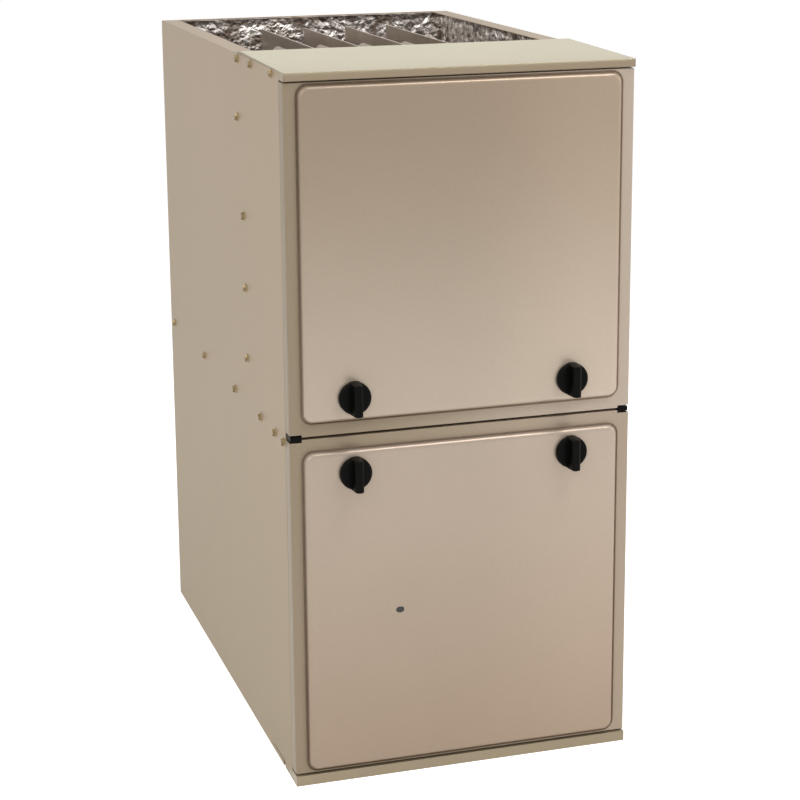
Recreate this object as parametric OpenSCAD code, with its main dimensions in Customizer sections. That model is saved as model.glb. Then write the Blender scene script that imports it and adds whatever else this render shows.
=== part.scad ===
// Upflow forced air gas furnace with two lift-off front doors.
// Frame: X across the front, Y from the doors to the back, Z up from the floor.

/* [Cabinet] */
// Width over the side panels
cab_w = 438; // [420:1:470]
// Height over the ridge of the top cap
cab_h = 889; // [880:1:920]
// Depth of the cabinet behind the doors
cab_d = 696; // [690:1:740]
// Thickness of the cabinet sheet
sheet = 1; // [0.8:0.1:1.2]
// Width of the flanges beside the supply opening
top_flange = 25; // [20:1:30]
// Width of the flanges that the doors close against
front_flange = 18; // [14:1:22]
// Gap between sheets that lie on each other
lap_gap = 0.2; // [0.1:0.05:0.3]
// Thickness of the foil faced liner
liner_t = 12; // [10:1:14]

/* [Top cap and base] */
// Height of the lip over the upper door
lip_h = 10; // [8:1:12]
// How far lip and rail stand in front of the doors
lip_proud = 3; // [2:0.5:4]
// From the door face to the back edge of the cap
cap_cover = 239; // [234:1:246]
// From the door face to the ridge of the cap
ridge_at = 215; // [205:1:222]
// Height of the ridge over the side flanges
ridge_rise = 4; // [2:0.5:5]
// Height of the rail under the lower door
rail_h = 13; // [11:1:15]
// Length of the rail's ear round the corner
rail_ear = 36; // [30:1:40]

/* [Doors] */
// Depth of a door pan
door_d = 20; // [18:1:22]
// Thickness of the door sheet
door_t = 1; // [0.8:0.1:1.2]
// Height of the gap between the doors
split_z = 447; // [440:1:455]
// Gap round a door
door_gap = 1.5; // [1:0.1:2]
// Height of the raised panel
panel_rise = 5; // [3:0.5:6]
// Width of its sloped edge
panel_slope = 6; // [4:0.5:8]
// From the door's side to the raised panel
panel_margin = 16; // [14:1:18]
// From the gap between the doors to the raised panel
split_margin = 18; // [16:1:20]
// Corner radius of the raised panel
panel_r = 13; // [11:1:16]

/* [Knobs] */
// Diameter of a door knob
knob_d = 40; // [36:1:44]
// Knob centre from the side of the door
knob_in = 79.5; // [75:0.5:85]
// Knob centre from the gap between the doors
knob_off = 47; // [45:0.5:52]
// Thickness of the knob's disc
knob_base = 7; // [6:0.5:9]
// Height of the grip bar over the disc
grip_h = 15; // [12:0.5:18]
// Width of the grip bar
grip_w = 13; // [11:0.5:15]
// Radius of the stem through the door
stem_r = 5; // [4:0.5:6]
// Reach of the latch arm from the stem
cam_reach = 25; // [22:1:26]
// Width of the latch arm
cam_w = 12; // [10:1:13]
// Thickness of the latch arm
cam_t = 2.5; // [2:0.5:3]
// Radial play of the stem in the door
stem_play = 0.6; // [0.5:0.1:0.8]

/* [Divider and deck] */
// Height of the divider rail
divider_h = 60; // [56:1:64]
// Blower deck below the middle of the gap between the doors
deck_below = 1; // [0:1:6]
// Depth of the flanges under the deck
deck_flange = 20; // [18:1:24]
// Room for the manifold and the gas valve in front of the burners
burner_room = 102; // [98:1:106]
// Width of the vestibule panel's side flanges
vest_flange = 16; // [14:1:20]

/* [Heat exchanger] */
// Number of cells
cell_n = 4; // [3:1:4]
// Distance from cell to cell
cell_pitch = 62; // [60:1:66]
// Width of a cell across its bulges
cell_t = 34; // [28:1:38]
// Passes of the flue gas in a cell
pass_n = 4; // [3:1:4]
// Web between two passes
pass_gap = 16; // [12:1:24]
// Seam between the passes and the edge
cell_seam = 14; // [12:1:18]
// Cell edge to the back liner
cell_back_gap = 92; // [80:1:110]
// Depth of the cells' top edge below the flanges
cell_drop = 8; // [6:1:12]
// Thickness of the crimped seam
seam_t = 2.4; // [2:0.2:3]
// Radius of a burner port in the vestibule panel
port_r = 23; // [21:0.5:25]

/* [Burners] */
// Burner axis above the blower deck
burner_up = 96; // [90:1:110]
// Radius of the flame head
burner_r = 20; // [18:0.5:21]
// Length of a burner
burner_len = 118; // [110:1:125]
// Wall of the burner casting
burner_wall = 1.6; // [1.4:0.1:2]
// Radius of the manifold tube
manifold_r = 10.5; // [9:0.5:12]
// Wall of the manifold tube
manifold_wall = 3; // [2.6:0.1:3.4]
// Width of the gas valve
valve_w = 48; // [44:1:52]
// Radius of the gas inlet pipe
gas_pipe_r = 10.5; // [9:0.5:12]

/* [Inducer] */
// Radius of the inducer housing
inducer_r = 72; // [68:1:76]
// Depth of the inducer housing
inducer_d = 46; // [42:1:50]
// Inducer shaft below the outlets of the cells
inducer_drop = 34; // [28:1:38]
// Sideways place of the inducer shaft
inducer_x = -30; // [-40:1:-20]
// Inner radius of the vent pipe
vent_r = 38; // [36:0.5:40]
// Radius of the inducer wheel
inducer_wheel_r = 56; // [50:1:58]

/* [Blower] */
// Radius of the blower wheel
wheel_r = 127; // [120:1:130]
// Width of the blower wheel
wheel_w = 200; // [180:1:205]
// Number of blades
blade_n = 36; // [24:1:44]
// Radial depth of a blade
blade_d = 22; // [18:1:26]
// Radial gap between wheel and cutoff
cutoff_gap = 10; // [8:1:14]
// Growth of the scroll from cutoff to outlet
scroll_growth = 62; // [50:1:66]
// Play between the wheel and the housing's sides
wheel_play = 12; // [9:1:16]
// From the back of the cabinet to the scroll
scroll_back = 50; // [40:1:70]
// Height of the blower shaft
shaft_z = 226; // [220:1:232]
// Radius of the blower shaft
shaft_r = 6.35; // [6:0.05:8]
// Radius of the blower motor
motor_r = 68; // [60:1:72]
// Length of the blower motor
motor_len = 128; // [110:1:135]

/* [Fasteners] */
// Radius of a sheet screw's head
screw_r = 3.6; // [3:0.1:4]
// Height of a sheet screw's head
screw_h = 2.4; // [2:0.1:3]
// Radius of a sheet screw's shank
shank_r = 1.9; // [1.6:0.1:2.2]
// Length of a sheet screw's shank
shank_l = 7; // [5:1:8]

/* [Hidden] */
$fn = 48;

// ---- places worked out from the sizes above ----
knob_gap = 0.3;
knob_front = panel_rise + knob_gap + knob_base + grip_h;
total_d = cab_d + door_d + knob_front;
back_y = total_d / 2;
cab_y = back_y - cab_d;
rim_y = cab_y - door_d;
lip_y = rim_y - lip_proud;
half_w = cab_w / 2;
deck_z = split_z - deck_below;
burner_z = deck_z + burner_up;
in_x = half_w - sheet;
top_z = cab_h - ridge_rise;
ridge_y = rim_y + ridge_at;
cap_y = rim_y + cap_cover;
cap_turn = 20;
cap_side = 16;
ear_h = 9;
ear_y = rim_y + rail_ear;
base_flange = 15;
relief_y = rim_y + 55;
relief_w = 8;
relief_slot = 60;
relief_z = 6.5;
relief_t = 1.6;
vest_y = rim_y + burner_len + burner_room;
vest_top = top_z - 4;
pan_turn = 12;
return_side = 34;
return_front = 90;
return_back = 45;

// Side screws: distance from the door face along Y, height along Z
deck_screw_z = deck_z - 9;
deck_screw_y = [for (a = [28, 71, 145, 288, 478, cab_d - 8]) rim_y + a];
vest_screw_y = vest_y - vest_flange / 2;
vest_screw_z = [for (a = [51, 143, 236]) deck_z + a];
cap_screw_z = top_z - 6;
cap_screw_y = [for (a = [52, 157, 226]) rim_y + a];
liner_screw = [rim_y + 234, top_z - 80];

// Right side entries that the photograph's view does not reach
gas_hole_r = 22;
vent_wall = 1;
wire_hole_r = 11.1;
wire_y = cab_y + 90;
wire_z = deck_z + 20;

// ---- small building blocks ----
// Box from one corner to the opposite one
module slab(x0, x1, y0, y1, z0, z1) {
    translate([x0, y0, z0]) cube([x1 - x0, y1 - y0, z1 - z0]);
}

// Outline in Y and Z, drawn out from x0 to x1
module along_x(x0, x1) {
    translate([x0, 0, 0]) rotate([90, 0, 90]) linear_extrude(x1 - x0) children();
}

module rod_x(x0, x1, y, z, r) {
    translate([x0, y, z]) rotate([0, 90, 0]) cylinder(h = x1 - x0, r = r);
}

module rod_y(y0, y1, x, z, r) {
    translate([x, y0, z]) rotate([-90, 0, 0]) cylinder(h = y1 - y0, r = r);
}

module rod_z(z0, z1, x, y, r) {
    translate([x, y, z0]) cylinder(h = z1 - z0, r = r);
}

// The same piece on both sides of the cabinet
module both_sides() {
    children();
    mirror([1, 0, 0]) children();
}

// The same piece on both sides of an upright plane at x
module both_sides_of(x) {
    children();
    translate([2 * x, 0, 0]) mirror([1, 0, 0]) children();
}

// Children at each screw of the left side, looking along +X from the outer face
module at_deck_screws() {
    for (y = deck_screw_y) translate([-half_w, y, deck_screw_z]) rotate([0, 90, 0]) children();
}

module at_vest_screws() {
    for (z = vest_screw_z) translate([-half_w, vest_screw_y, z]) rotate([0, 90, 0]) children();
}

module at_cap_screws() {
    for (y = cap_screw_y) translate([-half_w, y, cap_screw_z]) rotate([0, 90, 0]) children();
}

module at_liner_screw() {
    translate([-half_w, liner_screw[0], liner_screw[1]]) rotate([0, 90, 0]) children();
}

module screw_hole() {
    translate([0, 0, -1]) cylinder(h = shank_l + 2, r = shank_r + 0.15);
}

// ---- cabinet ----
// Height of the cap's top face at a distance behind the lip
function cap_top(y) = y < ridge_y
    ? top_z + ridge_rise * (y - lip_y) / (ridge_y - lip_y)
    : cab_h - (ridge_rise - sheet) * (y - ridge_y) / (cap_y - ridge_y);

module side_outline() {
    polygon([
        [cab_y, ear_h + lap_gap], [ear_y + lap_gap, ear_h + lap_gap], [ear_y + lap_gap, 0],
        [back_y, 0], [back_y, top_z], [cap_y + lap_gap, top_z],
        [cap_y + lap_gap, cap_top(cap_y) - sheet - lap_gap], [ridge_y, cab_h - sheet - lap_gap],
        [cab_y, cap_top(cab_y) - sheet - lap_gap]]);
}

module side_sheet() {
    flange_top = top_z - cap_side - sheet;
    difference() {
        union() {
            along_x(-half_w, -in_x) side_outline();
            slab(-half_w, -half_w + top_flange, cap_y + lap_gap, back_y, top_z - sheet, top_z);
            slab(-half_w, -half_w + base_flange, ear_y + lap_gap, back_y, 0, sheet);
            slab(-half_w, -half_w + front_flange, cab_y, cab_y + sheet, rail_h + lap_gap, flange_top);
        }
        // Corner relief and slot at the foot of the side
        slab(-half_w - 1, -half_w + base_flange + 1, relief_y, relief_y + relief_w, -1, relief_z + relief_t);
        slab(-half_w - 1, -in_x + 1, relief_y, relief_y + relief_slot, relief_z, relief_z + relief_t);
        at_deck_screws() screw_hole();
        at_vest_screws() screw_hole();
        at_cap_screws() screw_hole();
        at_liner_screw() screw_hole();
    }
}

module wrapper() {
    color("#b3a593") difference() {
        union() {
            both_sides() side_sheet();
            slab(-half_w, half_w, back_y - sheet, back_y, 0, top_z);
        }
        rod_x(in_x - 1, half_w + 1, manifold_y, burner_z, gas_hole_r);
        rod_x(in_x - 1, half_w + 1, vent_y, vent_z, vent_r + vent_wall + lap_gap);
        rod_x(in_x - 1, half_w + 1, wire_y, wire_z, wire_hole_r);
    }
}

module base_pan() {
    pan_x = in_x - lap_gap;
    color("#a3947a") {
        difference() {
            union() {
                slab(-pan_x, pan_x, cab_y + 2, back_y - sheet - lap_gap, sheet, 2 * sheet);
                both_sides() slab(-pan_x, -pan_x + sheet, ear_y + 2, back_y - sheet - lap_gap, sheet, pan_turn);
            }
            slab(return_side - half_w, half_w - return_side, cab_y + return_front, back_y - return_back, -1, 5);
        }
        // Front rail: a channel with an ear round each corner
        slab(-half_w, half_w, lip_y, lip_y + sheet, 0, rail_h);
        slab(-half_w, half_w, lip_y, cab_y - lap_gap, rail_h - sheet, rail_h);
        slab(-half_w, half_w, lip_y, ear_y - 2, 0, sheet);
        both_sides() slab(-half_w, -in_x, lip_y, ear_y, 0, ear_h);
        both_sides() slab(-half_w, -in_x, lip_y, cab_y - lap_gap, 0, rail_h);
    }
}

module cap_outline() {
    polygon([
        [lip_y, top_z - lip_h], [lip_y, top_z], [ridge_y, cab_h], [cap_y, cap_top(cap_y)],
        [cap_y, top_z - cap_turn], [cap_y - sheet, top_z - cap_turn], [cap_y - sheet, cap_top(cap_y) - sheet],
        [ridge_y, cab_h - sheet], [lip_y + sheet, top_z - sheet], [lip_y + sheet, top_z - lip_h]]);
}

module top_cap() {
    rib_x = in_x - lap_gap;
    color("#c9c3aa") difference() {
        union() {
            difference() {
                along_x(-half_w, half_w) cap_outline();
                // The turned-down back edge stops short of the side panels
                both_sides() slab(-half_w - 1, -rib_x, cap_y - 2 * sheet, cap_y + 1, 0, cap_top(cap_y) - sheet);
            }
            // Ears that close the ends of the lip down to the door
            both_sides() along_x(-half_w, -in_x) polygon([
                [lip_y + sheet / 2, top_z - lip_h], [cab_y - lap_gap, top_z - lip_h],
                [cab_y - lap_gap, cap_top(cab_y) - sheet / 2], [lip_y + sheet / 2, top_z - sheet / 2]]);
            both_sides() along_x(-rib_x, -rib_x + sheet) polygon([
                [cab_y + 6, top_z - cap_side], [cap_y - 3, top_z - cap_side],
                [cap_y - 3, cap_top(cap_y - 3) - sheet / 2], [ridge_y, cab_h - sheet / 2],
                [cab_y + 6, cap_top(cab_y + 6) - sheet / 2]]);
        }
        both_sides() at_cap_screws() screw_hole();
    }
}

divider_y = cab_y + sheet + lap_gap;
divider_back = divider_y + sheet;
block_w = 13;
block_h = 5.4;

module divider_rail() {
    rail_x = in_x - lap_gap;
    color("#b3a593") {
        slab(-rail_x, rail_x, divider_y, divider_back, split_z - divider_h / 2, split_z + divider_h / 2);
    }
}

// Angles that hold the ends of the divider rail to the sides, above the deck
module divider_brackets() {
    leg_x = in_x - lap_gap;
    leg_y = divider_back + lap_gap;
    color("#8f9396") both_sides() {
        slab(-leg_x, -leg_x + 12, leg_y, leg_y + sheet, deck_z + lap_gap, split_z + divider_h / 2);
        slab(-leg_x, -leg_x + sheet, leg_y, leg_y + 15, deck_z + lap_gap, split_z + divider_h / 2);
    }
}

// Black bumpers in the gap between the doors
module divider_blocks() {
    color("#14140f") both_sides()
        slab(-half_w + 1, -half_w + 1 + block_w, rim_y + 1, cab_y, split_z - block_h / 2, split_z + block_h / 2);
}

module blower_deck() {
    deck_x = in_x - lap_gap;
    y0 = divider_back + lap_gap;
    y1 = back_y - sheet - lap_gap;
    color("#8f9396") difference() {
        union() {
            slab(-deck_x, deck_x, y0, y1, deck_z - sheet, deck_z);
            both_sides() slab(-deck_x, -deck_x + sheet, y0, y1, deck_z - deck_flange, deck_z);
            slab(-deck_x, deck_x, y1 - sheet, y1, deck_z - deck_flange, deck_z);
        }
        slab(-outlet_x, outlet_x, outlet_y0, outlet_y1, deck_z - 5, deck_z + 5);
        rod_z(deck_z - 5, deck_z + 5, wire_pass_x, wire_pass_y, wire_pass_r);
        both_sides() at_deck_screws() screw_hole();
    }
}

// Its upper corners stop under the ribs of the top cap
module vestibule_panel() {
    panel_x = in_x - lap_gap;
    neck_x = panel_x - sheet - lap_gap;
    rib_z = top_z - cap_side - lap_gap;
    color("#8f9396") difference() {
        union() {
            slab(-panel_x, panel_x, vest_y, vest_y + sheet, deck_z + lap_gap, rib_z);
            slab(-neck_x, neck_x, vest_y, vest_y + sheet, rib_z - 1, vest_top);
            both_sides() slab(-panel_x, -panel_x + sheet, vest_y - vest_flange, vest_y, deck_z + lap_gap, rib_z);
            slab(-panel_x, panel_x, vest_y - vest_flange, vest_y, deck_z + lap_gap, deck_z + lap_gap + sheet);
        }
        for (i = [0 : cell_n - 1]) {
            rod_y(vest_y - 1, vest_y + sheet + 1, cell_x(i), pass_z(0), port_r + lap_gap);
            rod_y(vest_y - 1, vest_y + sheet + 1, cell_x(i), pass_z(pass_n - 1), port_r + lap_gap);
        }
        rod_y(vest_y - 1, vest_y + sheet + 1, limit_x, limit_z, limit_r + lap_gap);
        both_sides() at_vest_screws() screw_hole();
    }
}

liner_y0 = cap_y + lap_gap;
liner_z0 = deck_z + lap_gap;
liner_z1 = top_z - sheet - lap_gap;
liner_back_y = back_y - sheet - lap_gap;

module liner_back() {
    color("silver") slab(-in_x + lap_gap, in_x - lap_gap, liner_back_y - liner_t, liner_back_y, liner_z0, liner_z1);
}

// Side liner from the vestibule panel to the back liner, cut down under the cap's turned edge
module side_liner() {
    y0 = vest_y + sheet + lap_gap;
    y1 = liner_back_y - liner_t - lap_gap;
    z_cap = top_z - cap_turn - lap_gap;
    difference() {
        along_x(-in_x + lap_gap, -in_x + lap_gap + liner_t) polygon([
            [y0, liner_z0], [y1, liner_z0], [y1, liner_z1], [liner_y0, liner_z1], [liner_y0, z_cap],
            [y0, z_cap]]);
        at_liner_screw() screw_hole();
    }
}

module liner_left() {
    color("silver") side_liner();
}

module liner_right() {
    color("silver") mirror([1, 0, 0]) side_liner();
}

// ---- heat exchanger ----
cell_y0 = vest_y + sheet + lap_gap;
cell_y1 = back_y - sheet - liner_t - cell_back_gap;
cell_top = top_z - cell_drop;
cell_wall = 1.2;
collar_out = 6;
collar_in = 22;
// The passes share out the height between the burners and the cells' top edge
pass_pitch = (cell_top - cell_seam + pass_gap / 2 - burner_z) / (pass_n - 0.5);
pass_h = pass_pitch - pass_gap;
bend_r = pass_pitch / 2;
bend_reach = bend_r + pass_h / 2 + cell_seam;
rear_bend_y = cell_y1 - bend_reach;
front_bend_y = cell_y0 + bend_reach + 10;

function cell_x(i) = (i - (cell_n - 1) / 2) * cell_pitch;
function pass_z(k) = cell_top - cell_seam - pass_h / 2 - (pass_n - 1 - k) * pass_pitch;

// Section of one pass: two arcs that meet at the seam, h along X and t along Y
module lens(h, t) {
    r = (h * h + t * t) / (4 * t);
    intersection() {
        translate([0, r - t / 2]) circle(r = r, $fn = 96);
        translate([0, t / 2 - r]) circle(r = r, $fn = 96);
    }
}

// One straight pass along Y
module straight_pass(y0, y1, z, h, t) {
    translate([0, y1, z]) rotate([90, 0, 0]) linear_extrude(y1 - y0) rotate(90) lens(h, t);
}

// Half turn that joins two passes, open side towards the front (side = 1) or the back (-1)
module pass_bend(y, z, side, h, t) {
    translate([0, y, z]) rotate([0, 90, 0]) rotate([0, 0, side > 0 ? 0 : 180])
        rotate_extrude(angle = 180) translate([bend_r, 0]) lens(h, t);
}

// The flue gas path: the first and last pass reach the front, the others turn back before it
module serpentine(inset) {
    h = pass_h - 2 * inset;
    t = cell_t - 2 * inset;
    for (k = [0 : pass_n - 1]) {
        ends_front = k == 0 || k == pass_n - 1;
        straight_pass(ends_front ? cell_y0 + inset : front_bend_y, rear_bend_y, pass_z(k), h, t);
    }
    for (k = [0 : pass_n - 2])
        pass_bend(k % 2 == 0 ? rear_bend_y : front_bend_y, (pass_z(k) + pass_z(k + 1)) / 2,
                  k % 2 == 0 ? 1 : -1, h, t);
}

module heat_cell(i) {
    ports = [pass_z(0), pass_z(pass_n - 1)];
    seam_low = pass_z(0) - pass_h / 2 - cell_seam;
    color("#85705f") translate([cell_x(i), 0, 0]) difference() {
        union() {
            slab(-seam_t / 2, seam_t / 2, cell_y0, cell_y1, seam_low, cell_top);
            serpentine(0);
            for (z = ports) rod_y(vest_y - collar_out, cell_y0 + collar_in, 0, z, port_r);
        }
        for (z = ports) rod_y(vest_y - collar_out - 1, cell_y0 + collar_in - 2, 0, z, port_r - cell_wall);
        serpentine(cell_wall);
        // Step in the seam under the cap's turned edge
        slab(-seam_t, seam_t, cell_y0 - 1, cap_y + 1, top_z - cap_turn - 1, cell_top + 1);
    }
}

module heat_cell_1() { heat_cell(0); }
module heat_cell_2() { heat_cell(1); }
module heat_cell_3() { heat_cell(2); }
module heat_cell_4() { heat_cell(3); }

box_t = 1.2;
box_w = cell_pitch * (cell_n - 1) + 2 * port_r + 24;
box_h = 76;
box_d = 34;
box_y = vest_y - lap_gap - box_d;
box_z = pass_z(pass_n - 1);
inducer_y1 = box_y - lap_gap;
inducer_y0 = inducer_y1 - inducer_d;
inducer_z = box_z - inducer_drop;
inducer_eye = 30;
inducer_wall = 1.5;

// Box over the outlets of the cells, open to them and to the inducer's eye
module collector_box() {
    color("#7f8487") difference() {
        slab(-box_w / 2, box_w / 2, box_y, vest_y - lap_gap, box_z - box_h / 2, box_z + box_h / 2);
        slab(-box_w / 2 + box_t, box_w / 2 - box_t, box_y + box_t, vest_y, box_z - box_h / 2 + box_t,
             box_z + box_h / 2 - box_t);
        rod_y(box_y - 1, box_y + box_t + 1, inducer_x, inducer_z, inducer_eye);
    }
}

// ---- burners and gas train ----
rack_t = 1.5;
burner_y1 = vest_y - collar_out - 8;
burner_y0 = burner_y1 - burner_len;
rack_y0 = burner_y0 + 24;
rack_y1 = burner_y1 - 26;
rack_half = cell_pitch * (cell_n - 1) / 2 + burner_r + 12;
throat_r = 9;
bell_r = 15;
spud_y = burner_y0 - 10;
manifold_y = burner_y0 - 26;

// One inshot burner, front at y = 0: bell, throat, flared tube and flame head
module burner() {
    rotate([-90, 0, 0]) rotate_extrude() polygon([
        [bell_r - burner_wall, 0], [throat_r - burner_wall, 18], [throat_r - burner_wall, 34],
        [burner_r - 4 - burner_wall, burner_len - 34], [burner_r - 4 - burner_wall, burner_len - 14],
        [burner_r - burner_wall, burner_len - 12], [burner_r - burner_wall, burner_len],
        [burner_r, burner_len], [burner_r, burner_len - 13.6], [burner_r - 4, burner_len - 15.6],
        [burner_r - 4, burner_len - 34], [throat_r, 34], [throat_r, 18], [bell_r, 0]]);
}

// Wing that carries the flame towards the next burner at +X
module carryover() {
    slab(burner_r - 1.2, cell_pitch / 2 - 0.5, burner_len - 9, burner_len - 1, -2.5, 2.5);
}

module burners() {
    color("#9c9a94") for (i = [0 : cell_n - 1]) translate([cell_x(i), burner_y0, burner_z]) {
        burner();
        if (i < cell_n - 1) carryover();
        if (i > 0) mirror([1, 0, 0]) carryover();
    }
}

// Bent plate that carries the burners, with two legs to the vestibule panel
module burner_rack() {
    low = burner_z - burner_r - 16;
    color("#8f9396") {
        difference() {
            slab(-rack_half, rack_half, rack_y0, rack_y0 + rack_t, low, burner_z + burner_r + 8);
            for (i = [0 : cell_n - 1]) rod_y(rack_y0 - 1, rack_y0 + rack_t + 1, cell_x(i), burner_z,
                                             throat_r + 0.1);
        }
        slab(-rack_half, rack_half, rack_y0, vest_y - lap_gap, low, low + rack_t);
        both_sides() slab(-rack_half, -rack_half + rack_t, rack_y0, vest_y - lap_gap, low,
                          burner_z + burner_r + 8);
        both_sides() slab(-rack_half - 12, -rack_half + rack_t, vest_y - lap_gap - rack_t, vest_y - lap_gap,
                          low, burner_z + burner_r + 8);
        both_sides() slab(-rack_half, -rack_half + 14, manifold_y - manifold_r - 4, rack_y0 + rack_t,
                          low, low + rack_t);
        both_sides() slab(-rack_half, -rack_half + 14, manifold_y - 6, manifold_y + 6,
                          low, burner_z - manifold_r);
    }
}

valve_x0 = rack_half + 4;
valve_d = 52;
valve_h = 76;
valve_x1 = valve_x0 + valve_w;

module manifold() {
    color("#6d6f70") difference() {
        union() {
            rod_x(-rack_half - 6, valve_x0 - lap_gap, manifold_y, burner_z, manifold_r);
            rod_x(-rack_half - 12, -rack_half - 6, manifold_y, burner_z, manifold_r + 2.5);
        }
        rod_x(-rack_half - 2, valve_x0, manifold_y, burner_z, manifold_r - manifold_wall);
        for (i = [0 : cell_n - 1]) rod_y(manifold_y, manifold_y + 20, cell_x(i), burner_z, 4.2);
    }
}

// Brass spuds screwed into the manifold, one for each burner
module orifices() {
    hex_r = 6.5;
    color("#b08d4a") for (i = [0 : cell_n - 1]) difference() {
        union() {
            rod_y(manifold_y + manifold_r - 3, spud_y, cell_x(i), burner_z, 4.1);
            translate([cell_x(i), manifold_y + manifold_r, burner_z]) rotate([-90, 0, 0])
                cylinder(h = 6, r = hex_r, $fn = 6);
            rod_y(spud_y - 0.01, spud_y + 5, cell_x(i), burner_z, 3);
        }
        rod_y(manifold_y, spud_y + 6, cell_x(i), burner_z, 1.1);
    }
}

valve_mid_x = valve_x0 + valve_w / 2;
pipe_wall = 2.6;
valve_knob_r = 13;

module gas_valve() {
    color("#a9adb0") difference() {
        union() {
            slab(valve_x0, valve_x1, manifold_y - valve_d / 2, manifold_y + valve_d / 2,
                 burner_z - valve_h / 2, burner_z + valve_h / 2);
            // Solenoid coils on top, control knob boss at the front
            slab(valve_x0 + 4, valve_x1 - 4, manifold_y - 8, manifold_y + valve_d / 2 - 2,
                 burner_z + valve_h / 2, burner_z + valve_h / 2 + 26);
            rod_y(manifold_y - valve_d / 2 - 6, manifold_y - valve_d / 2, valve_mid_x, burner_z, 16);
            rod_y(manifold_y - valve_d / 2 - 7, manifold_y - valve_d / 2, valve_x0 + 9,
                  burner_z - valve_h / 2 + 9, 6);
        }
        rod_y(manifold_y - valve_d / 2 - 8, manifold_y - valve_d / 2 + 3, valve_mid_x, burner_z, 4.06);
        rod_x(valve_x1 - 18, valve_x1 + 1, manifold_y, burner_z, gas_pipe_r - pipe_wall - 1.4);
    }
}

// Knob that opens and shuts the gas valve by a quarter turn
module valve_knob() {
    y1 = manifold_y - valve_d / 2 - 6 - lap_gap;
    color("#1c3f9e") {
        rod_y(y1 - 9, y1, valve_mid_x, burner_z, valve_knob_r);
        slab(valve_mid_x - 3, valve_mid_x + 3, y1 - 18, y1 - 9, burner_z - valve_knob_r + 1,
             burner_z + valve_knob_r - 1);
        rod_y(y1, y1 + 8, valve_mid_x, burner_z, 4);
    }
}

// Pipe nipple from the valve out to the right side, with its coupling hexagon
module gas_pipe() {
    color("#4c4d4f") difference() {
        union() {
            rod_x(valve_x1 + lap_gap, half_w, manifold_y, burner_z, gas_pipe_r);
            translate([valve_x1 + 3, manifold_y, burner_z]) rotate([0, 90, 0])
                cylinder(h = 12, r = gas_pipe_r + 5, $fn = 6);
        }
        rod_x(valve_x1 - 1, half_w + 1, manifold_y, burner_z, gas_pipe_r - pipe_wall);
    }
}

// Hot surface igniter beside the last burner: ceramic block and silicon blade
module igniter() {
    x = rack_half - rack_t - lap_gap - 9;
    color("#e6e1d4") {
        slab(x, x + 9, rack_y1 - 40, rack_y1, burner_z - 6, burner_z + 6);
        slab(x + 3, x + 6, rack_y1, burner_y1 + 5, burner_z - 4, burner_z - 1.5);
        slab(x + 3, x + 6, rack_y1, burner_y1 + 5, burner_z + 1.5, burner_z + 4);
        slab(x + 3, x + 6, burner_y1 + 2.5, burner_y1 + 5, burner_z - 4, burner_z + 4);
    }
}

// Flame sensor beside the first burner: ceramic sleeve and bent rod
module flame_sensor() {
    x = 4.5 + rack_t + lap_gap - rack_half;
    color("#e6e1d4") {
        rod_y(rack_y1 - 40, rack_y1 - 6, x, burner_z, 4.5);
        rod_y(rack_y1 - 50, burner_y1 + 4, x, burner_z, 1.6);
        rod_x(x - 1.6, cell_x(0) - 8, burner_y1 + 4, burner_z, 1.6);
    }
}

// Two heat switches on the upper edge of the burner rack
module rollout_switches() {
    z = burner_z + burner_r + 8;
    color("#2b2b2b") for (x = [cell_x(0) + cell_pitch / 2, cell_x(cell_n - 2) + cell_pitch / 2]) {
        slab(x - 14, x + 14, rack_y0, rack_y0 + 1.2, z, z + 20);
        rod_y(rack_y0 - 12, rack_y0, x, z + 10, 8);
        both_sides_of(x) slab(x + 2, x + 3, rack_y0 - 20, rack_y0 - 12, z + 6, z + 13);
    }
}

limit_x = half_w - 46;
limit_z = deck_z + 175;
limit_r = 9;

// Limit switch in the vestibule panel, its bulb in the air stream
module limit_switch() {
    color("#2b2b2b") {
        rod_y(vest_y - 16, vest_y + 40, limit_x, limit_z, limit_r);
        slab(limit_x - 20, limit_x + 20, vest_y - lap_gap - 1.2, vest_y - lap_gap, limit_z - 11, limit_z + 11);
        both_sides_of(limit_x) slab(limit_x + 3, limit_x + 4, vest_y - 24, vest_y - 16, limit_z - 4, limit_z + 4);
    }
}

// ---- inducer and vent ----
vent_y = inducer_y1 - 1 - inducer_wall - vent_r;
vent_z = inducer_z + inducer_r - inducer_wall - vent_r;
duct_z0 = inducer_z + 8;
hood_x0 = inducer_x + inducer_r + 30;
hood_x1 = box_w / 2 + 4;
hood_y0 = vent_y - vent_r - inducer_wall;
hood_y1 = vent_y + vent_r + inducer_wall;
hood_z0 = vent_z - vent_r - inducer_wall;
hood_z1 = vent_z + vent_r + inducer_wall;
inducer_shaft_r = 4;
run_play = 0.06;
nipple_x = inducer_x - 52;
nipple_z = inducer_z - 20;

module inducer_shell(g) {
    rod_y(inducer_y0 + g, inducer_y1 - g, inducer_x, inducer_z, inducer_r - g);
    slab(inducer_x, hood_x0 + 2 * g + 1, inducer_y0 + g, inducer_y1 - g, duct_z0 + g, inducer_z + inducer_r - g);
    slab(hood_x0 + g, hood_x1 - g, hood_y0 + g, hood_y1 - g, hood_z0 + g, hood_z1 - g);
}

module inducer_housing() {
    color("#5d6163") difference() {
        union() {
            inducer_shell(0);
            rod_y(inducer_y0 - 14, inducer_y0 + 1, nipple_x, nipple_z, 3.2);
        }
        inducer_shell(inducer_wall);
        rod_y(inducer_y1 - 5, inducer_y1 + 1, inducer_x, inducer_z, inducer_eye);
        rod_y(inducer_y0 - 1, inducer_y0 + 5, inducer_x, inducer_z, inducer_shaft_r + 3);
        rod_x(hood_x1 - 5, hood_x1 + 1, vent_y, vent_z, vent_r);
    }
}

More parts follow.
